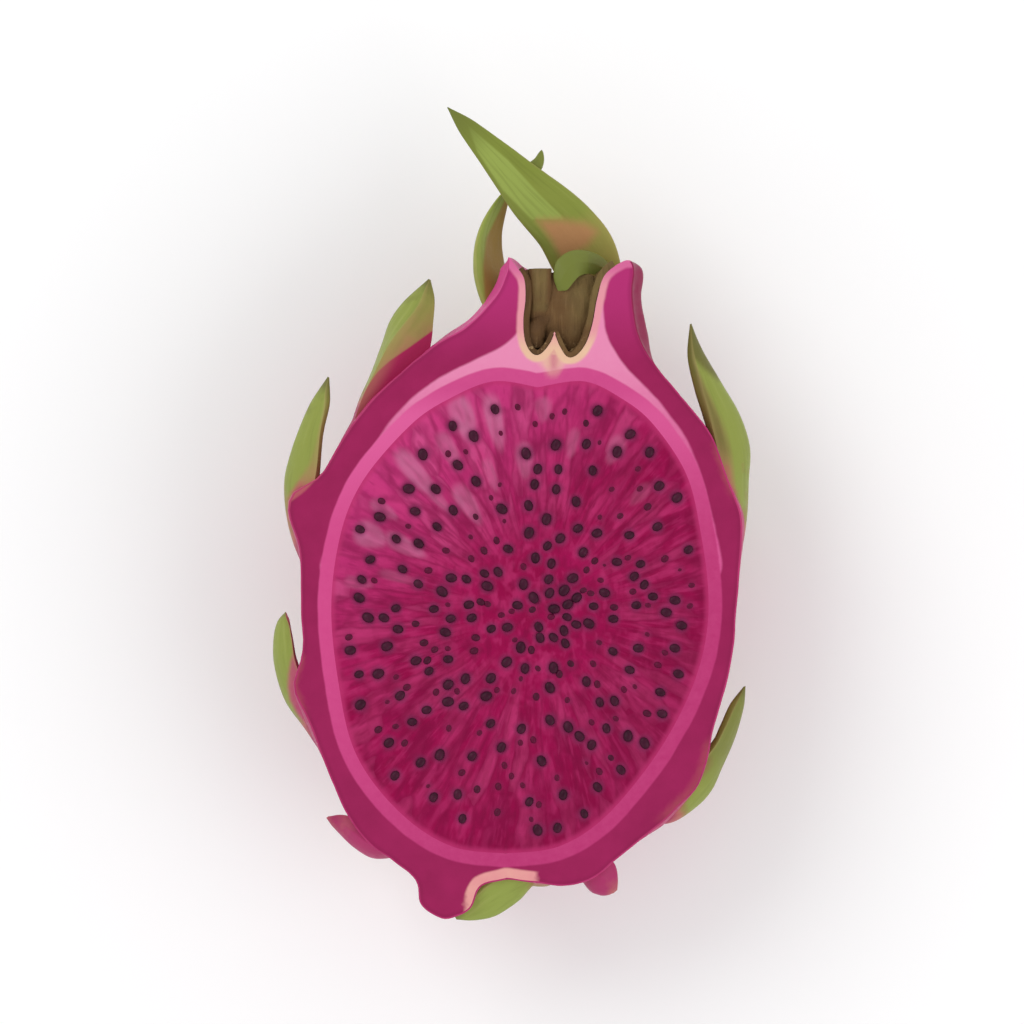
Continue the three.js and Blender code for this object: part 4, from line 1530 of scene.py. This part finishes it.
def closed_blade(rings):
    """The rings' points with a foot and a tip, and the faces of the whole."""
    count = rings.shape[1]
    points = np.concatenate([rings.reshape(-1, 3), [rings[0].mean(0)], [rings[-1].mean(0)]])
    foot, tip = len(points) - 2, len(points) - 1
    body = grid_faces(rings.shape[0], count, closed=True)[:, ::-1].tolist()
    ends = [(a, b, foot) for a, b in ring_of(0, count)]
    ends += [(b, a, tip) for a, b in ring_of(foot - count, count)]
    return points, faced_out(points, body + ends)


def faced_out(points, faces):
    """The faces of a closed body, turned over if they look inwards."""
    fans = [(face[0], face[k], face[k + 1]) for face in faces for k in range(1, len(face) - 1)]
    a, b, c = points[np.array(fans)].transpose(1, 0, 2)
    volume = (a * np.cross(b, c)).sum()
    return faces if volume > 0 else [face[::-1] for face in faces]


def body_spine(base, tip, angle, swing, lift, flare):
    """The spine of a scale of the body, and the way that its outer face looks."""
    spine, facing = [], []
    for u in ALONG_BLADE:
        straight = -ROOT_DEPTH + (flare + ROOT_DEPTH) * u
        arch = 4 * u * (1 - u) * (lift - (flare - ROOT_DEPTH) / 2)
        at = math.radians(angle + swing * u)
        foot = skin_spot(base + (tip - base) * u, at)
        spine.append(foot + outwards(at) * (straight + arch))
        facing.append(outwards(at))
    return np.array(spine), np.array(facing)


print("a scale's root lies", ROOT_DEPTH, "mm deep")

# %% [markdown]
# ## Scales that stand at the cut
# Five scales of the body and three of the stem end stand right beside the knife's path, so they are
# seen from the side, and their outline says more than a spine could. Each is given by the line of
# its back and the line of its inner face in the plane of the cut. Between the two the upper margin
# wanders, and it is what parts the green back from the browner inner face.

# %% Outlines of the side scales
SIDE_SCALES = {
    # back line, inner line, place of the margin from back (0) to inner line (1), width, depth,
    # how far from the skin the green begins, how brown the inner face is
    "scale_right_upper": (
        [(36.5, 5), (40.2, 11), (41.6, 18), (42.0, 25), (42.2, 31), (40.3, 37.2), (36.9, 43.1),
         (33.4, 49.1), (31.6, 54.0)],
        [(34, 6), (36, 11), (38, 17), (37.6, 23), (36.0, 29), (33.9, 36.4), (32.2, 42.1),
         (31.0, 48), (31.3, 53.8)],
        [0.9, 0.9, 0.92, 0.95, 0.9, 0.84, 0.75, 0.6, 0.5], 16, 9.0, -0.3, 0.95),
    "scale_right_lower": (
        [(22, -38), (27.5, -38.0), (32.0, -35.3), (35.2, -32.0), (37.3, -27.6), (39.5, -22.2),
         (41.0, -17), (41.6, -12.9)],
        [(20, -34), (24, -33), (28, -30.4), (31.8, -27.2), (35.4, -23.2), (37.0, -20.2),
         (38.8, -16.4), (41.2, -13)],
        [0.8, 0.85, 0.88, 0.85, 0.82, 0.76, 0.66, 0.5], 14, 8.5, 0.2, 0.0),
    "scale_left_upper": (
        [(-33, 28), (-31.4, 34), (-29.6, 39.6), (-27.4, 44.6), (-25.3, 50.2), (-23.8, 54.4),
         (-21.3, 58.0), (-16.9, 62.2)],
        [(-27, 30), (-24.5, 36), (-21, 41.5), (-17.6, 46), (-16.6, 50), (-16.2, 53.5),
         (-15.9, 58.2), (-16.5, 62.0)],
        [0.1, 0.06, 0.05, 0.06, 0.15, 0.36, 0.56, 0.5], 15, 8.5, 1.9, 1.0),
    "scale_left_middle": (
        [(-36.5, 4), (-40.6, 11), (-42.8, 18), (-43.3, 24.5), (-42.3, 29.5), (-40.9, 33.8),
         (-38.5, 39.2), (-35.5, 44.2)],
        [(-33, 6), (-34.6, 12), (-36.4, 18), (-37.0, 23.5), (-36.9, 28), (-36.4, 33.6),
         (-35.3, 39), (-35.2, 44)],
        [0.6, 0.6, 0.7, 0.85, 0.92, 0.9, 0.8, 0.5], 16, 9.0, 0.1, 0.9),
    "scale_left_lower": (
        [(-36, -26), (-39.6, -20.6), (-43.2, -15.4), (-45.1, -9.4), (-45.3, -4.6), (-44.6, -1.2),
         (-43.3, 0.8)],
        [(-33, -25), (-36, -19.5), (-39, -13.5), (-41.2, -8.2), (-42.0, -4.2), (-42.6, -1.2),
         (-43.1, 0.6)],
        [0.8, 0.85, 0.9, 0.95, 0.98, 0.94, 0.5], 14, 9.0, 0.1, 0.4),
    "scale_stem_left": (
        [(-22, -44), (-26.5, -44.4), (-30.2, -42.6), (-33.2, -39.8), (-35.7, -37.1)],
        [(-20, -40), (-24, -40), (-28.2, -38.4), (-31.8, -36.8), (-35.3, -36.8)],
        [0.4, 0.4, 0.45, 0.5, 0.5], 9, 4.6, 2.6, 0.0),
    "scale_stem_right": (
        [(10, -46), (12.6, -50.0), (15.0, -51.2), (17.2, -51.0)],
        [(11, -42), (15.4, -43.6), (17.6, -46.4), (17.9, -50.4)],
        [0.4, 0.45, 0.5, 0.5], 9, 5.2, 2.4, 0.0),
    "scale_stem_front": (
        [(6.5, -46.5), (2.4, -49.2), (-0.4, -52.2), (-4.4, -54.8), (-8.2, -55.7), (-11.7, -55.8)],
        [(4.5, -43.5), (1.0, -44.8), (-3.6, -46.0), (-8.4, -49.8), (-10.8, -53.0), (-12.0, -55.3)],
        [0.5, 0.6, 0.75, 0.8, 0.7, 0.5], 7.5, 4.0, -4.5, 0.0),
}
print("side scales:", len(SIDE_SCALES))

# %% A scale between two outlines
HOLLOW_AT = 0.8  # how high up the inner face reaches its line, from -1 to 1


def side_scale(back_line, inner_line, margin, width, depth, seed):
    """Rings of a scale between two outlines, and what its points know."""
    stations = np.linspace(0, len(back_line) - 1, BLADE_RINGS)
    back, inner = curve_at(back_line, stations), curve_at(inner_line, stations)
    margin = curve_at(np.array(margin)[:, None], stations)
    depth = np.interp(stations, np.arange(len(back_line)), np.broadcast_to(depth, len(back_line)))
    u = np.linspace(0, 1, BLADE_RINGS)[:, None]
    side, face_side = np.cos(ROUND_BLADE), np.sin(ROUND_BLADE)
    half_width = width / 2 * taper(u) * soft_step(1.02, 0.9, u) ** 0.5
    bulge = 1 - np.abs(side) ** 1.7
    above = np.clip((side - HOLLOW_AT) / (1 - HOLLOW_AT), 0, 1)
    below = np.clip((HOLLOW_AT - side) / (1 + HOLLOW_AT), 0, 1)
    hollow_bulge = 1 - above**1.3 - below**1.7
    bulge = np.where(face_side > 0, bulge, hollow_bulge)
    at_margin = np.where(side > np.where(face_side > 0, 0, HOLLOW_AT), 1 - margin, 0.3)
    share = (1 - bulge) * at_margin + bulge * (face_side > 0)
    gap = back - inner
    thickness = np.maximum(np.linalg.norm(gap, axis=1, keepdims=True), 0.2)
    ribbed = 0.10 * ribs(u, side, width, seed) * bulge
    share = share + (0.25 * face_side + ribbed) / thickness * soft_step(1.0, 0.85, u)
    flat = inner[:, None] + gap[:, None] * share[..., None]
    height = half_width * side - depth[:, None]
    rings = np.concatenate([flat, height[..., None]], -1)
    return rings, as_facts(u, side, face_side, share.shape)


def off_the_skin(points):
    """Roughly how far in mm points near the cut stand off the outline of the peel."""
    apart = line_distance(points, rim_loop, True)
    return np.where(inside(points, rim_loop), -apart, apart) + points[:, 2] ** 2 / 80


def drawn_on(rings, loop, soft):
    """How far each point of the rings is inside a loop in the plane of the cut; 0.5 is on it."""
    points = rings.reshape(-1, 3)
    return np.clip(0.5 + 0.5 * signed_depth(points, loop) / soft, 0, 1)


print("rings of a side scale:", side_scale(*SIDE_SCALES["scale_stem_left"][:5], 0.0)[0].shape)

# %% [markdown]
# ## Finish of the scales
# The scales share one finish. Its colour runs along the blade, from the skin's magenta over a dusty
# brown to leaf green and a darker tip, and the two faces run differently. Veins lie along the
# blade, its margin is paler, and marks such as the crown leaf's tan patch are numbers stored where
# they belong.

# %% Finish: scale_skin, from the skin's magenta to the tip
scale_skin, tree = new_finish("scale_skin")
here, patches, grain = tissue(tree, patch_size=0.005, contrast=0.9, grain_size=0.0005, wax=0.42)
on_blade = kept(tree, "on_blade", "Vector")
veins = clouds(tree, on_blade, 0.9, 3.0, 0.6, (1, 0.07, 1))
wander = sums(tree, "MULTIPLY_ADD", clouds(tree, here, 0.005, 2.0), 0.16, -0.08)
tones = use_group(tree, scale_tones, {
    "Along": sums(tree, "ADD", kept(tree, "ripe"), wander),
    "Inner Face": kept(tree, "inner_face"),
    "Variation": patches["Patches"],
})
skin_patches = use_group(tree, tissue_patches, {"Vector": here, "Patch Size": SKIN_PATCH})
skin_tone = blend(tree, skin_patches.outputs["Patches"], *SKIN_TONES)
at_root = sums(tree, "ADD", kept(tree, "ripe"), times(tree, wander, 0.5))
colour = blend(tree, span(tree, at_root, 0.10, 0.26, 1, 0), tones.outputs["Color"], skin_tone)
print("nodes so far:", len(tree.nodes))

# %% Finish: scale_skin, its veins, marks and margin
MARK_TONES = (
    ("foot_olive", tone(152, 147, 75)), ("tan_patch", tone(184, 134, 90)),
    ("dark_end_and_shade", tone(106, 102, 48)), ("brown_side", tone(152, 122, 64)),
    ("deep_green", tone(116, 124, 56)), ("rosy", tone(184, 64, 112)),
)
green_part = span(tree, kept(tree, "ripe"), 0.40, 0.60)
colour = blend(tree, kept(tree, "edge_green"), colour, tone(130, 142, 60))
# painted light: a lighter green on lit facets, and the paler green of the stem front scale
light = span(tree, kept(tree, "in_lit_facet"), 0.45, 0.55)
light = times(tree, sums(tree, "MAXIMUM", kept(tree, "pale_green_and_painted_light"), light), green_part)
colour = blend(tree, light, colour, tone(152, 168, 82))
dark = times(tree, span(tree, veins, 0.50, 0.30, 0, 0.28), green_part)
colour = blend(tree, dark, colour, tone(108, 116, 50))
pale = times(tree, span(tree, veins, 0.55, 0.75, 0, 0.20), green_part)
colour = blend(tree, pale, colour, tone(172, 178, 104))
for mark, mark_tone in MARK_TONES:
    colour = blend(tree, kept(tree, mark), colour, mark_tone)
skin_root = span(tree, kept(tree, "skin_root"), 0.44, 0.56)
colour = blend(tree, skin_root, colour, tone(168, 34, 84))
from_middle = sums(tree, "ABSOLUTE", kept(tree, "side"))
colour = blend(tree, span(tree, from_middle, 0.93, 1.0, 0, 0.3), colour, tone(170, 150, 96))
height = sums(tree, "MULTIPLY_ADD", veins, 1.3, grain["Height"])
bump = relief(tree, height, 0.10, 0.5)
surface(tree, colour, grain, bump, shine=0.14, coat=0.02, coat_roughness=0.4)
print("finish:", scale_skin.name)

# %% [markdown]
# ## Scales of the body
# A scale of the back follows its spine, and its colour turns from magenta over brown to green by
# its length. A scale beside the cut turns green by its distance from the skin instead, because its
# long foot lies along the peel. What the finish should paint where is stored on the points: most of
# it is drawn as loops in the plane of the cut, so a facet needs no edge of its own in the mesh.

# %% A scale piece
MARKS = (*(mark for mark, _ in MARK_TONES), "pale_green_and_painted_light", "in_lit_facet", "edge_green", "skin_root")
VEINS_ACROSS, VEINS_ALONG = 6, 30  # how big a scale is in the space of its veins
OVER_FLOOR, UNDER_CUT = 0.1, 0.03


def make_scale(name, shapes):
    """One scale piece from its shapes, each (rings, facts). A fact left out is 0 everywhere."""
    parts, stored = [], {fact: [] for fact in ("ripe", "side", "inner_face", *MARKS)}
    on_blade = []
    for rings, facts in shapes:
        rings[..., 2] = np.clip(rings[..., 2], OVER_FLOOR - CUT_HEIGHT, -UNDER_CUT)
        points, faces = closed_blade(rings)
        parts.append((points, faces, 0))
        facts = {**facts, "ripe": facts.get("ripe", facts["along"])}
        for fact, rows in stored.items():
            values = np.broadcast_to(facts.get(fact, 0.0), facts["along"].shape)
            rows.append(np.concatenate([values, [values[0], values[-1]]]))
        run = np.concatenate([facts["along"], facts["along"][[0, -1]]]) * VEINS_ALONG
        wide = np.concatenate([facts["side"], [0, 0]]) * VEINS_ACROSS
        on_blade.append(np.column_stack([wide, run, np.full(len(run), 3.0 * len(name))]))
    piece = make_piece(name, parts, [scale_skin], weld=False)
    for fact, rows in stored.items():
        store(piece, fact, np.concatenate(rows))
    store(piece, "on_blade", np.concatenate(on_blade))
    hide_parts(name)


print("marks that a scale may have:", len(MARKS))

# %% Scales of the back
GREENING = 0.33  # where the dusty turn lies on the ramp of scale_tones
for number, (name, row) in enumerate(SCALES.items()):
    if name in SIDE_SCALES:
        continue
    *spine_row, width, greens_at, free_from = row
    spine, facing = body_spine(*spine_row)
    rings, facts = blade(spine, facing, width, SCALE_THICKNESS, 3.0 + number, free_from=free_from)
    u, side = facts["along"], facts["side"]
    before = GREENING * u / greens_at
    after = GREENING + (1 - GREENING) * (u - greens_at) / (1 - greens_at)
    facts["ripe"] = np.where(u < greens_at, before, after)
    # one half of each back scale is painted lighter as painted light, on alternating sides
    facts["pale_green_and_painted_light"] = 0.5 * soft_step(0.1, -0.3, side * (1 if number % 2 else -1))
    make_scale(name, [(rings, facts)])

# %% Loops painted on the scales beside the cut
FACETS = {
    # where the back of a side scale turns over to its browner inner facet
    "scale_right_upper": [(36, 20), (39.7, 22.5), (39.3, 25.4), (38.7, 30.2), (36.6, 36.6),
                          (34.1, 42.0), (31.8, 47.6), (31, 56), (26, 50), (32, 34)],
    "scale_left_middle": [(-34.5, 48), (-35.6, 43.2), (-36.1, 38), (-37.6, 31.4), (-38.6, 28.1),
                          (-40.5, 25.3), (-43.1, 21.3), (-41, 17), (-34, 20), (-33, 40)],
    "scale_left_lower": [(-41.2, -5.6), (-42.1, -7.9), (-42.6, -10.6), (-42.8, -13.0),
                         (-42.3, -15.6), (-40.8, -18.2), (-38.6, -20.4), (-36, -18), (-38, -6)],
}
DARK_ENDS_AND_SHADE = {
    # how softly the dark end of a side scale stops, in mm, how dark it is, and the loop it fills;
    # on the right lower scale it is a strip of painted shade on the side that faces away from the cut
    "scale_right_upper": (0.5, 0.9, [(31.9, 47.5), (33.6, 45.8), (36.4, 43.6), (41, 46), (34, 57),
                                     (28, 57), (30, 50)]),
    "scale_right_lower": (4.0, 0.55, [(47, -6), (33, -7), (29, -27), (42, -30), (48, -26)]),
}
# the foot of the left upper scale, still as magenta as the skin
SKIN_ROOT = [(-15, 53.4), (-17.1, 51.9), (-20.2, 49.6), (-23.4, 47.4), (-27.0, 44.7), (-34, 40),
             (-34, 26), (-15, 26)]
print("scales with a painted facet:", len(FACETS))

# %% Scales beside the cut
def ripeness(rings, facts, green_from):
    """How far each point has turned green: along the scale, and away from the skin."""
    low_down = soft_step(0.5, -0.5, facts["side"])
    off = off_the_skin(rings.reshape(-1, 3)) - green_from - 1.6 * low_down
    held_back = 0.54 - np.interp(off, [-1.6, 0, 1.2, 2.5], [0.16, 0.34, 0.46, 0.54])
    by_length = np.interp(facts["along"], [0, 0.12, 0.3, 0.8, 1], [0.2, 0.3, 0.54, 0.74, 1.0])
    return by_length - held_back


for number, (name, row) in enumerate(SIDE_SCALES.items()):
    *outline, green_from, brown = row
    rings, facts = side_scale(*outline, 21.0 + number)
    u = facts["along"]
    facts["ripe"] = ripeness(rings, facts, green_from)
    if name in DARK_ENDS_AND_SHADE:
        # a darker end, and on the right lower scale painted shade
        soft, strength, loop = DARK_ENDS_AND_SHADE[name]
        facts["dark_end_and_shade"] = strength * (1 - facts["inner_face"]) * drawn_on(rings, loop, soft)
    if name in FACETS:
        upper = soft_step(-0.2, 0.2, facts["side"])
        facet = drawn_on(rings, FACETS[name], 0.4) * upper
        facts["inner_face"] = np.maximum(facts["inner_face"], facet)
    if name == "scale_right_upper":
        olive = 0.75 * facet * soft_step(26, 33, rings[..., 1].ravel())
        facts["dark_end_and_shade"] = np.maximum(facts["dark_end_and_shade"], olive)
    if name == "scale_left_upper":
        facts["skin_root"] = facts["inner_face"] * drawn_on(rings, SKIN_ROOT, 1.6)
    if name == "scale_left_lower":
        facts["rosy"] = 0.8 * facts["inner_face"]
    if name == "scale_stem_front":
        # the stem front scale is a paler green all over
        facts["pale_green_and_painted_light"] = 0.5
    facts["inner_face"] = facts["inner_face"] * brown
    if name in ("scale_stem_left", "scale_stem_right"):
        facts["ripe"] = np.minimum(facts["ripe"], 0.05 + 0.22 * u)
        facts["rosy"] = 0.4 * soft_step(0.98, 0.7, u)
        facts["side"] = 0.6 * facts["side"]
    make_scale(name, [(rings, facts)])

# %% [markdown]
# ## Leaves of the crown
# Two leaves of the flower's crown are left. The long one rises from the back of the collar and
# crosses it to the left, with a flat facet down its middle that is painted lighter as painted
# light, a tan patch over its foot, a small hook on its right margin and a green flap that hangs
# into the pit. Both leaves and the hook are blades along a spine, and the flap is a scale between
# two outlines, so no new shape is needed: the long leaf is one piece of three such bodies.

# %% The long leaf's spine and what is painted on it
LONG_LEAF = (
    [(13.6, 56, -11), (12.8, 64, -10.5), (8.8, 71.2, -9.5), (1.8, 78.2, -8.5),
     (-4.8, 85.1, -7.5), (-13.4, 93.8, -7)],
    (0.1, 0.1, -1), 12.6, 4.0)
HOOK = (
    [(1.2, 81.6, -8.9), (2.5, 82.6, -8.5), (3.5, 84.0, -8.2), (4.0, 86.0, -8.0)],
    (0, 0, -1), 2.8, 1.2)


def leaf_blade(spine_points, faces, width, thickness, seed, **shape):
    """A blade along a curve, its outer face looking the same way all along."""
    spine = curve_at(spine_points, ALONG_BLADE * (len(spine_points) - 1))
    facing = np.tile(np.array(faces, float), (BLADE_RINGS, 1))
    return blade(spine, facing, width, thickness, seed, **shape)


LIT_FACET = [(-9.6, 90.4), (-7.9, 85.6), (-3.3, 78.6), (2.1, 73.2), (8.4, 73.1), (3.8, 77.5),
         (-2.2, 84)]
TAN_PATCH = [(3.2, 73.0), (7.8, 73.1), (12.0, 72.4), (14.2, 71.0), (12.4, 68.3), (9.4, 66.6),
             (7.2, 66.2), (5.9, 69.0)]
FLAP = (
    [(17.2, 63.4), (15.2, 65.8), (12.4, 67.0), (9.2, 66.9), (6.9, 65.2), (6.3, 62.4), (6.9, 59.9)],
    [(16.4, 62.4), (14.6, 62.9), (12.6, 63.2), (11.0, 62.8), (9.8, 61.6), (8.6, 60.2), (7.5, 59.8)],
    [0.5] * 7, 2.6, [8.5, 6.5, 4.0, 2.4, 1.7, 1.5, 1.5],
)
print("points of the tan patch:", len(TAN_PATCH))

# %% Piece: crown_leaf_long
def long_leaf():
    """The rings and facts of the long leaf's own blade."""
    rings, facts = leaf_blade(*LONG_LEAF, 31.0, hollow=0.0)
    u = facts["along"]
    facts["ripe"] = 0.55 + 0.2 * u
    facts["inner_face"] = 0
    # the flat middle facet is painted lighter, as painted light
    facts["in_lit_facet"] = drawn_on(rings, LIT_FACET, 2.5)
    facts["tan_patch"] = 0.95 * drawn_on(rings, TAN_PATCH, 0.9)
    x, y = rings[..., :2].reshape(-1, 2).T
    left_strip = np.interp(y, [64, 66.9, 69.2, 73], [8.4, 7.0, 5.8, 3.2])
    facts["foot_olive"] = soft_step(0.44, 0.34, u) * soft_step(-0.4, 0.8, x - left_strip)
    left_of_facet = np.interp(y, [66, 73.2, 78.6, 85.6, 90.4], [8, 2.1, -3.3, -7.9, -9.6]) - x
    # a darker green at the tip, and painted shade in a strip beside the lit facet
    shade_beside_facet = 0.4 * soft_step(-0.4, 0.4, left_of_facet)
    facts["deep_green"] = np.maximum(soft_step(0.80, 0.95, u), shade_beside_facet)
    facts["edge_green"] = soft_step(0.34, 0.44, u) * (1 - 0.45 * soft_step(84, 77, y))
    return rings, facts


flap, flap_facts = side_scale(*FLAP, 37.0)
flap_facts.update(inner_face=0, ripe=0.6, side=0.6 * flap_facts["side"], deep_green=1)
hook, hook_facts = leaf_blade(*HOOK, 39.0, hollow=0.0)
hook_facts.update(inner_face=0, deep_green=0.8)
make_scale("crown_leaf_long", [long_leaf(), (flap, flap_facts), (hook, hook_facts)])

# %% Piece: crown_leaf_side
SIDE_LEAF = (
    [(-3.2, 54, -6.5), (-5.8, 63, -8.4), (-5.6, 71, -11), (-2.2, 79, -13.5)],
    (-1, 0.1, -0.9), 9.0, 4.0)
rings, facts = leaf_blade(*SIDE_LEAF, 33.0, hollow=0.4)
x, y = rings[..., :2].reshape(-1, 2).T
parting = np.interp(y, [56, 60.2, 64.5, 69.9, 77.2], [-6.3, -6.5, -6.8, -6.2, -2.6])
facts["brown_side"] = 0.95 * soft_step(-0.3, 0.3, x - parting)
# painted light on the half of the side leaf that isn't brown
facts["pale_green_and_painted_light"] = 0.6 * (1 - facts["brown_side"])
facts["ripe"] = 0.5 + 0.25 * facts["along"]
facts["inner_face"] = 0
make_scale("crown_leaf_side", [(rings, facts)])

# %% [markdown]
# ## Table, light and camera
# The half lies on a plain pale table. One broad soft lamp from the upper left gives the shapes
# their light side, a weaker one fills from the right, and a pale sky does the rest. The sky is
# darker overhead, so that the wet cut face doesn't mirror a white sheet and lose its colour. A long
# lens looks straight down from far off, which keeps the cut face flat and true.

# %% The table
HALF_SIDE = 3.0
table_mesh = bpy.data.meshes.new("table_top")
corners = [(HALF_SIDE * x, HALF_SIDE * y, 0) for x, y in ((-1, -1), (1, -1), (1, 1), (-1, 1))]
table_mesh.from_pydata(corners, [], [(0, 1, 2, 3)])
table_top = in_scene("table_top", table_mesh)
table_finish, tree = new_finish("pale_table")
cloudy = clouds(tree, add(tree, "TexCoord").outputs["Object"], 0.15, 2.0)
table_shader = add(tree, "BsdfPrincipled", {
    "Base Color": blend(tree, cloudy, (0.97, 0.97, 0.97, 1), (0.99, 0.99, 0.99, 1)),
    "Roughness": 0.85,
    "Specular IOR Level": 0.1,
})
shade(tree, table_shader)
table_mesh.materials.append(table_finish)
print("table side, m:", 2 * HALF_SIDE)

# %% Sky
sky = bpy.data.worlds.new("soft_sky")
bpy.context.scene.world = sky
sky.use_nodes = True
tree = sky.node_tree
tree.nodes.clear()
upward = add(tree, "SeparateXYZ", {0: add(tree, "TexCoord").outputs["Generated"]}).outputs["Z"]
glow = ramp(tree, upward, [
    (0.0, (1.04, 1.04, 1.04, 1)), (0.45, (0.97, 0.97, 0.97, 1)), (0.8, (0.72, 0.72, 0.73, 1)),
    (1.0, (0.34, 0.34, 0.35, 1)),
])
background = add(tree, "Background", {"Color": glow, "Strength": 1.0})
add(tree, "OutputWorld", {"Surface": background.outputs[0]})
print("world:", sky.name)

# %% Lamps
LIT_SPOT = Vector((0, 0.015, 0.03))


def soft_lamp(name, place, size, watts):
    """A round area lamp that shines on the fruit from that place."""
    light = bpy.data.lights.new(name, "AREA")
    light.shape = "DISK"
    light.size = size
    light.energy = watts
    lamp = in_scene(name, light)
    lamp.location = place
    lamp.rotation_euler = (LIT_SPOT - Vector(place)).to_track_quat("-Z", "Y").to_euler()


soft_lamp("key_upper_left", (-0.75, 0.65, 1.05), 0.9, 5.6)
soft_lamp("fill_right", (1.0, -0.5, 0.9), 1.2, 5.0)

# %% Camera
VIEW_WIDTH = 0.188
VIEW_MIDDLE = (-0.0015, 0.0192)
CAMERA_HEIGHT = 1.8
SENSOR = 36.0
camera_data = bpy.data.cameras.new("camera")
camera_data.sensor_width = SENSOR
camera_data.lens = SENSOR * (CAMERA_HEIGHT - CUT_HEIGHT * MM) / VIEW_WIDTH
camera = in_scene("camera", camera_data)
camera.location = (*VIEW_MIDDLE, CAMERA_HEIGHT)
bpy.context.scene.camera = camera
bpy.context.scene.view_settings.view_transform = "Standard"
print("lens, mm:", round(camera_data.lens))
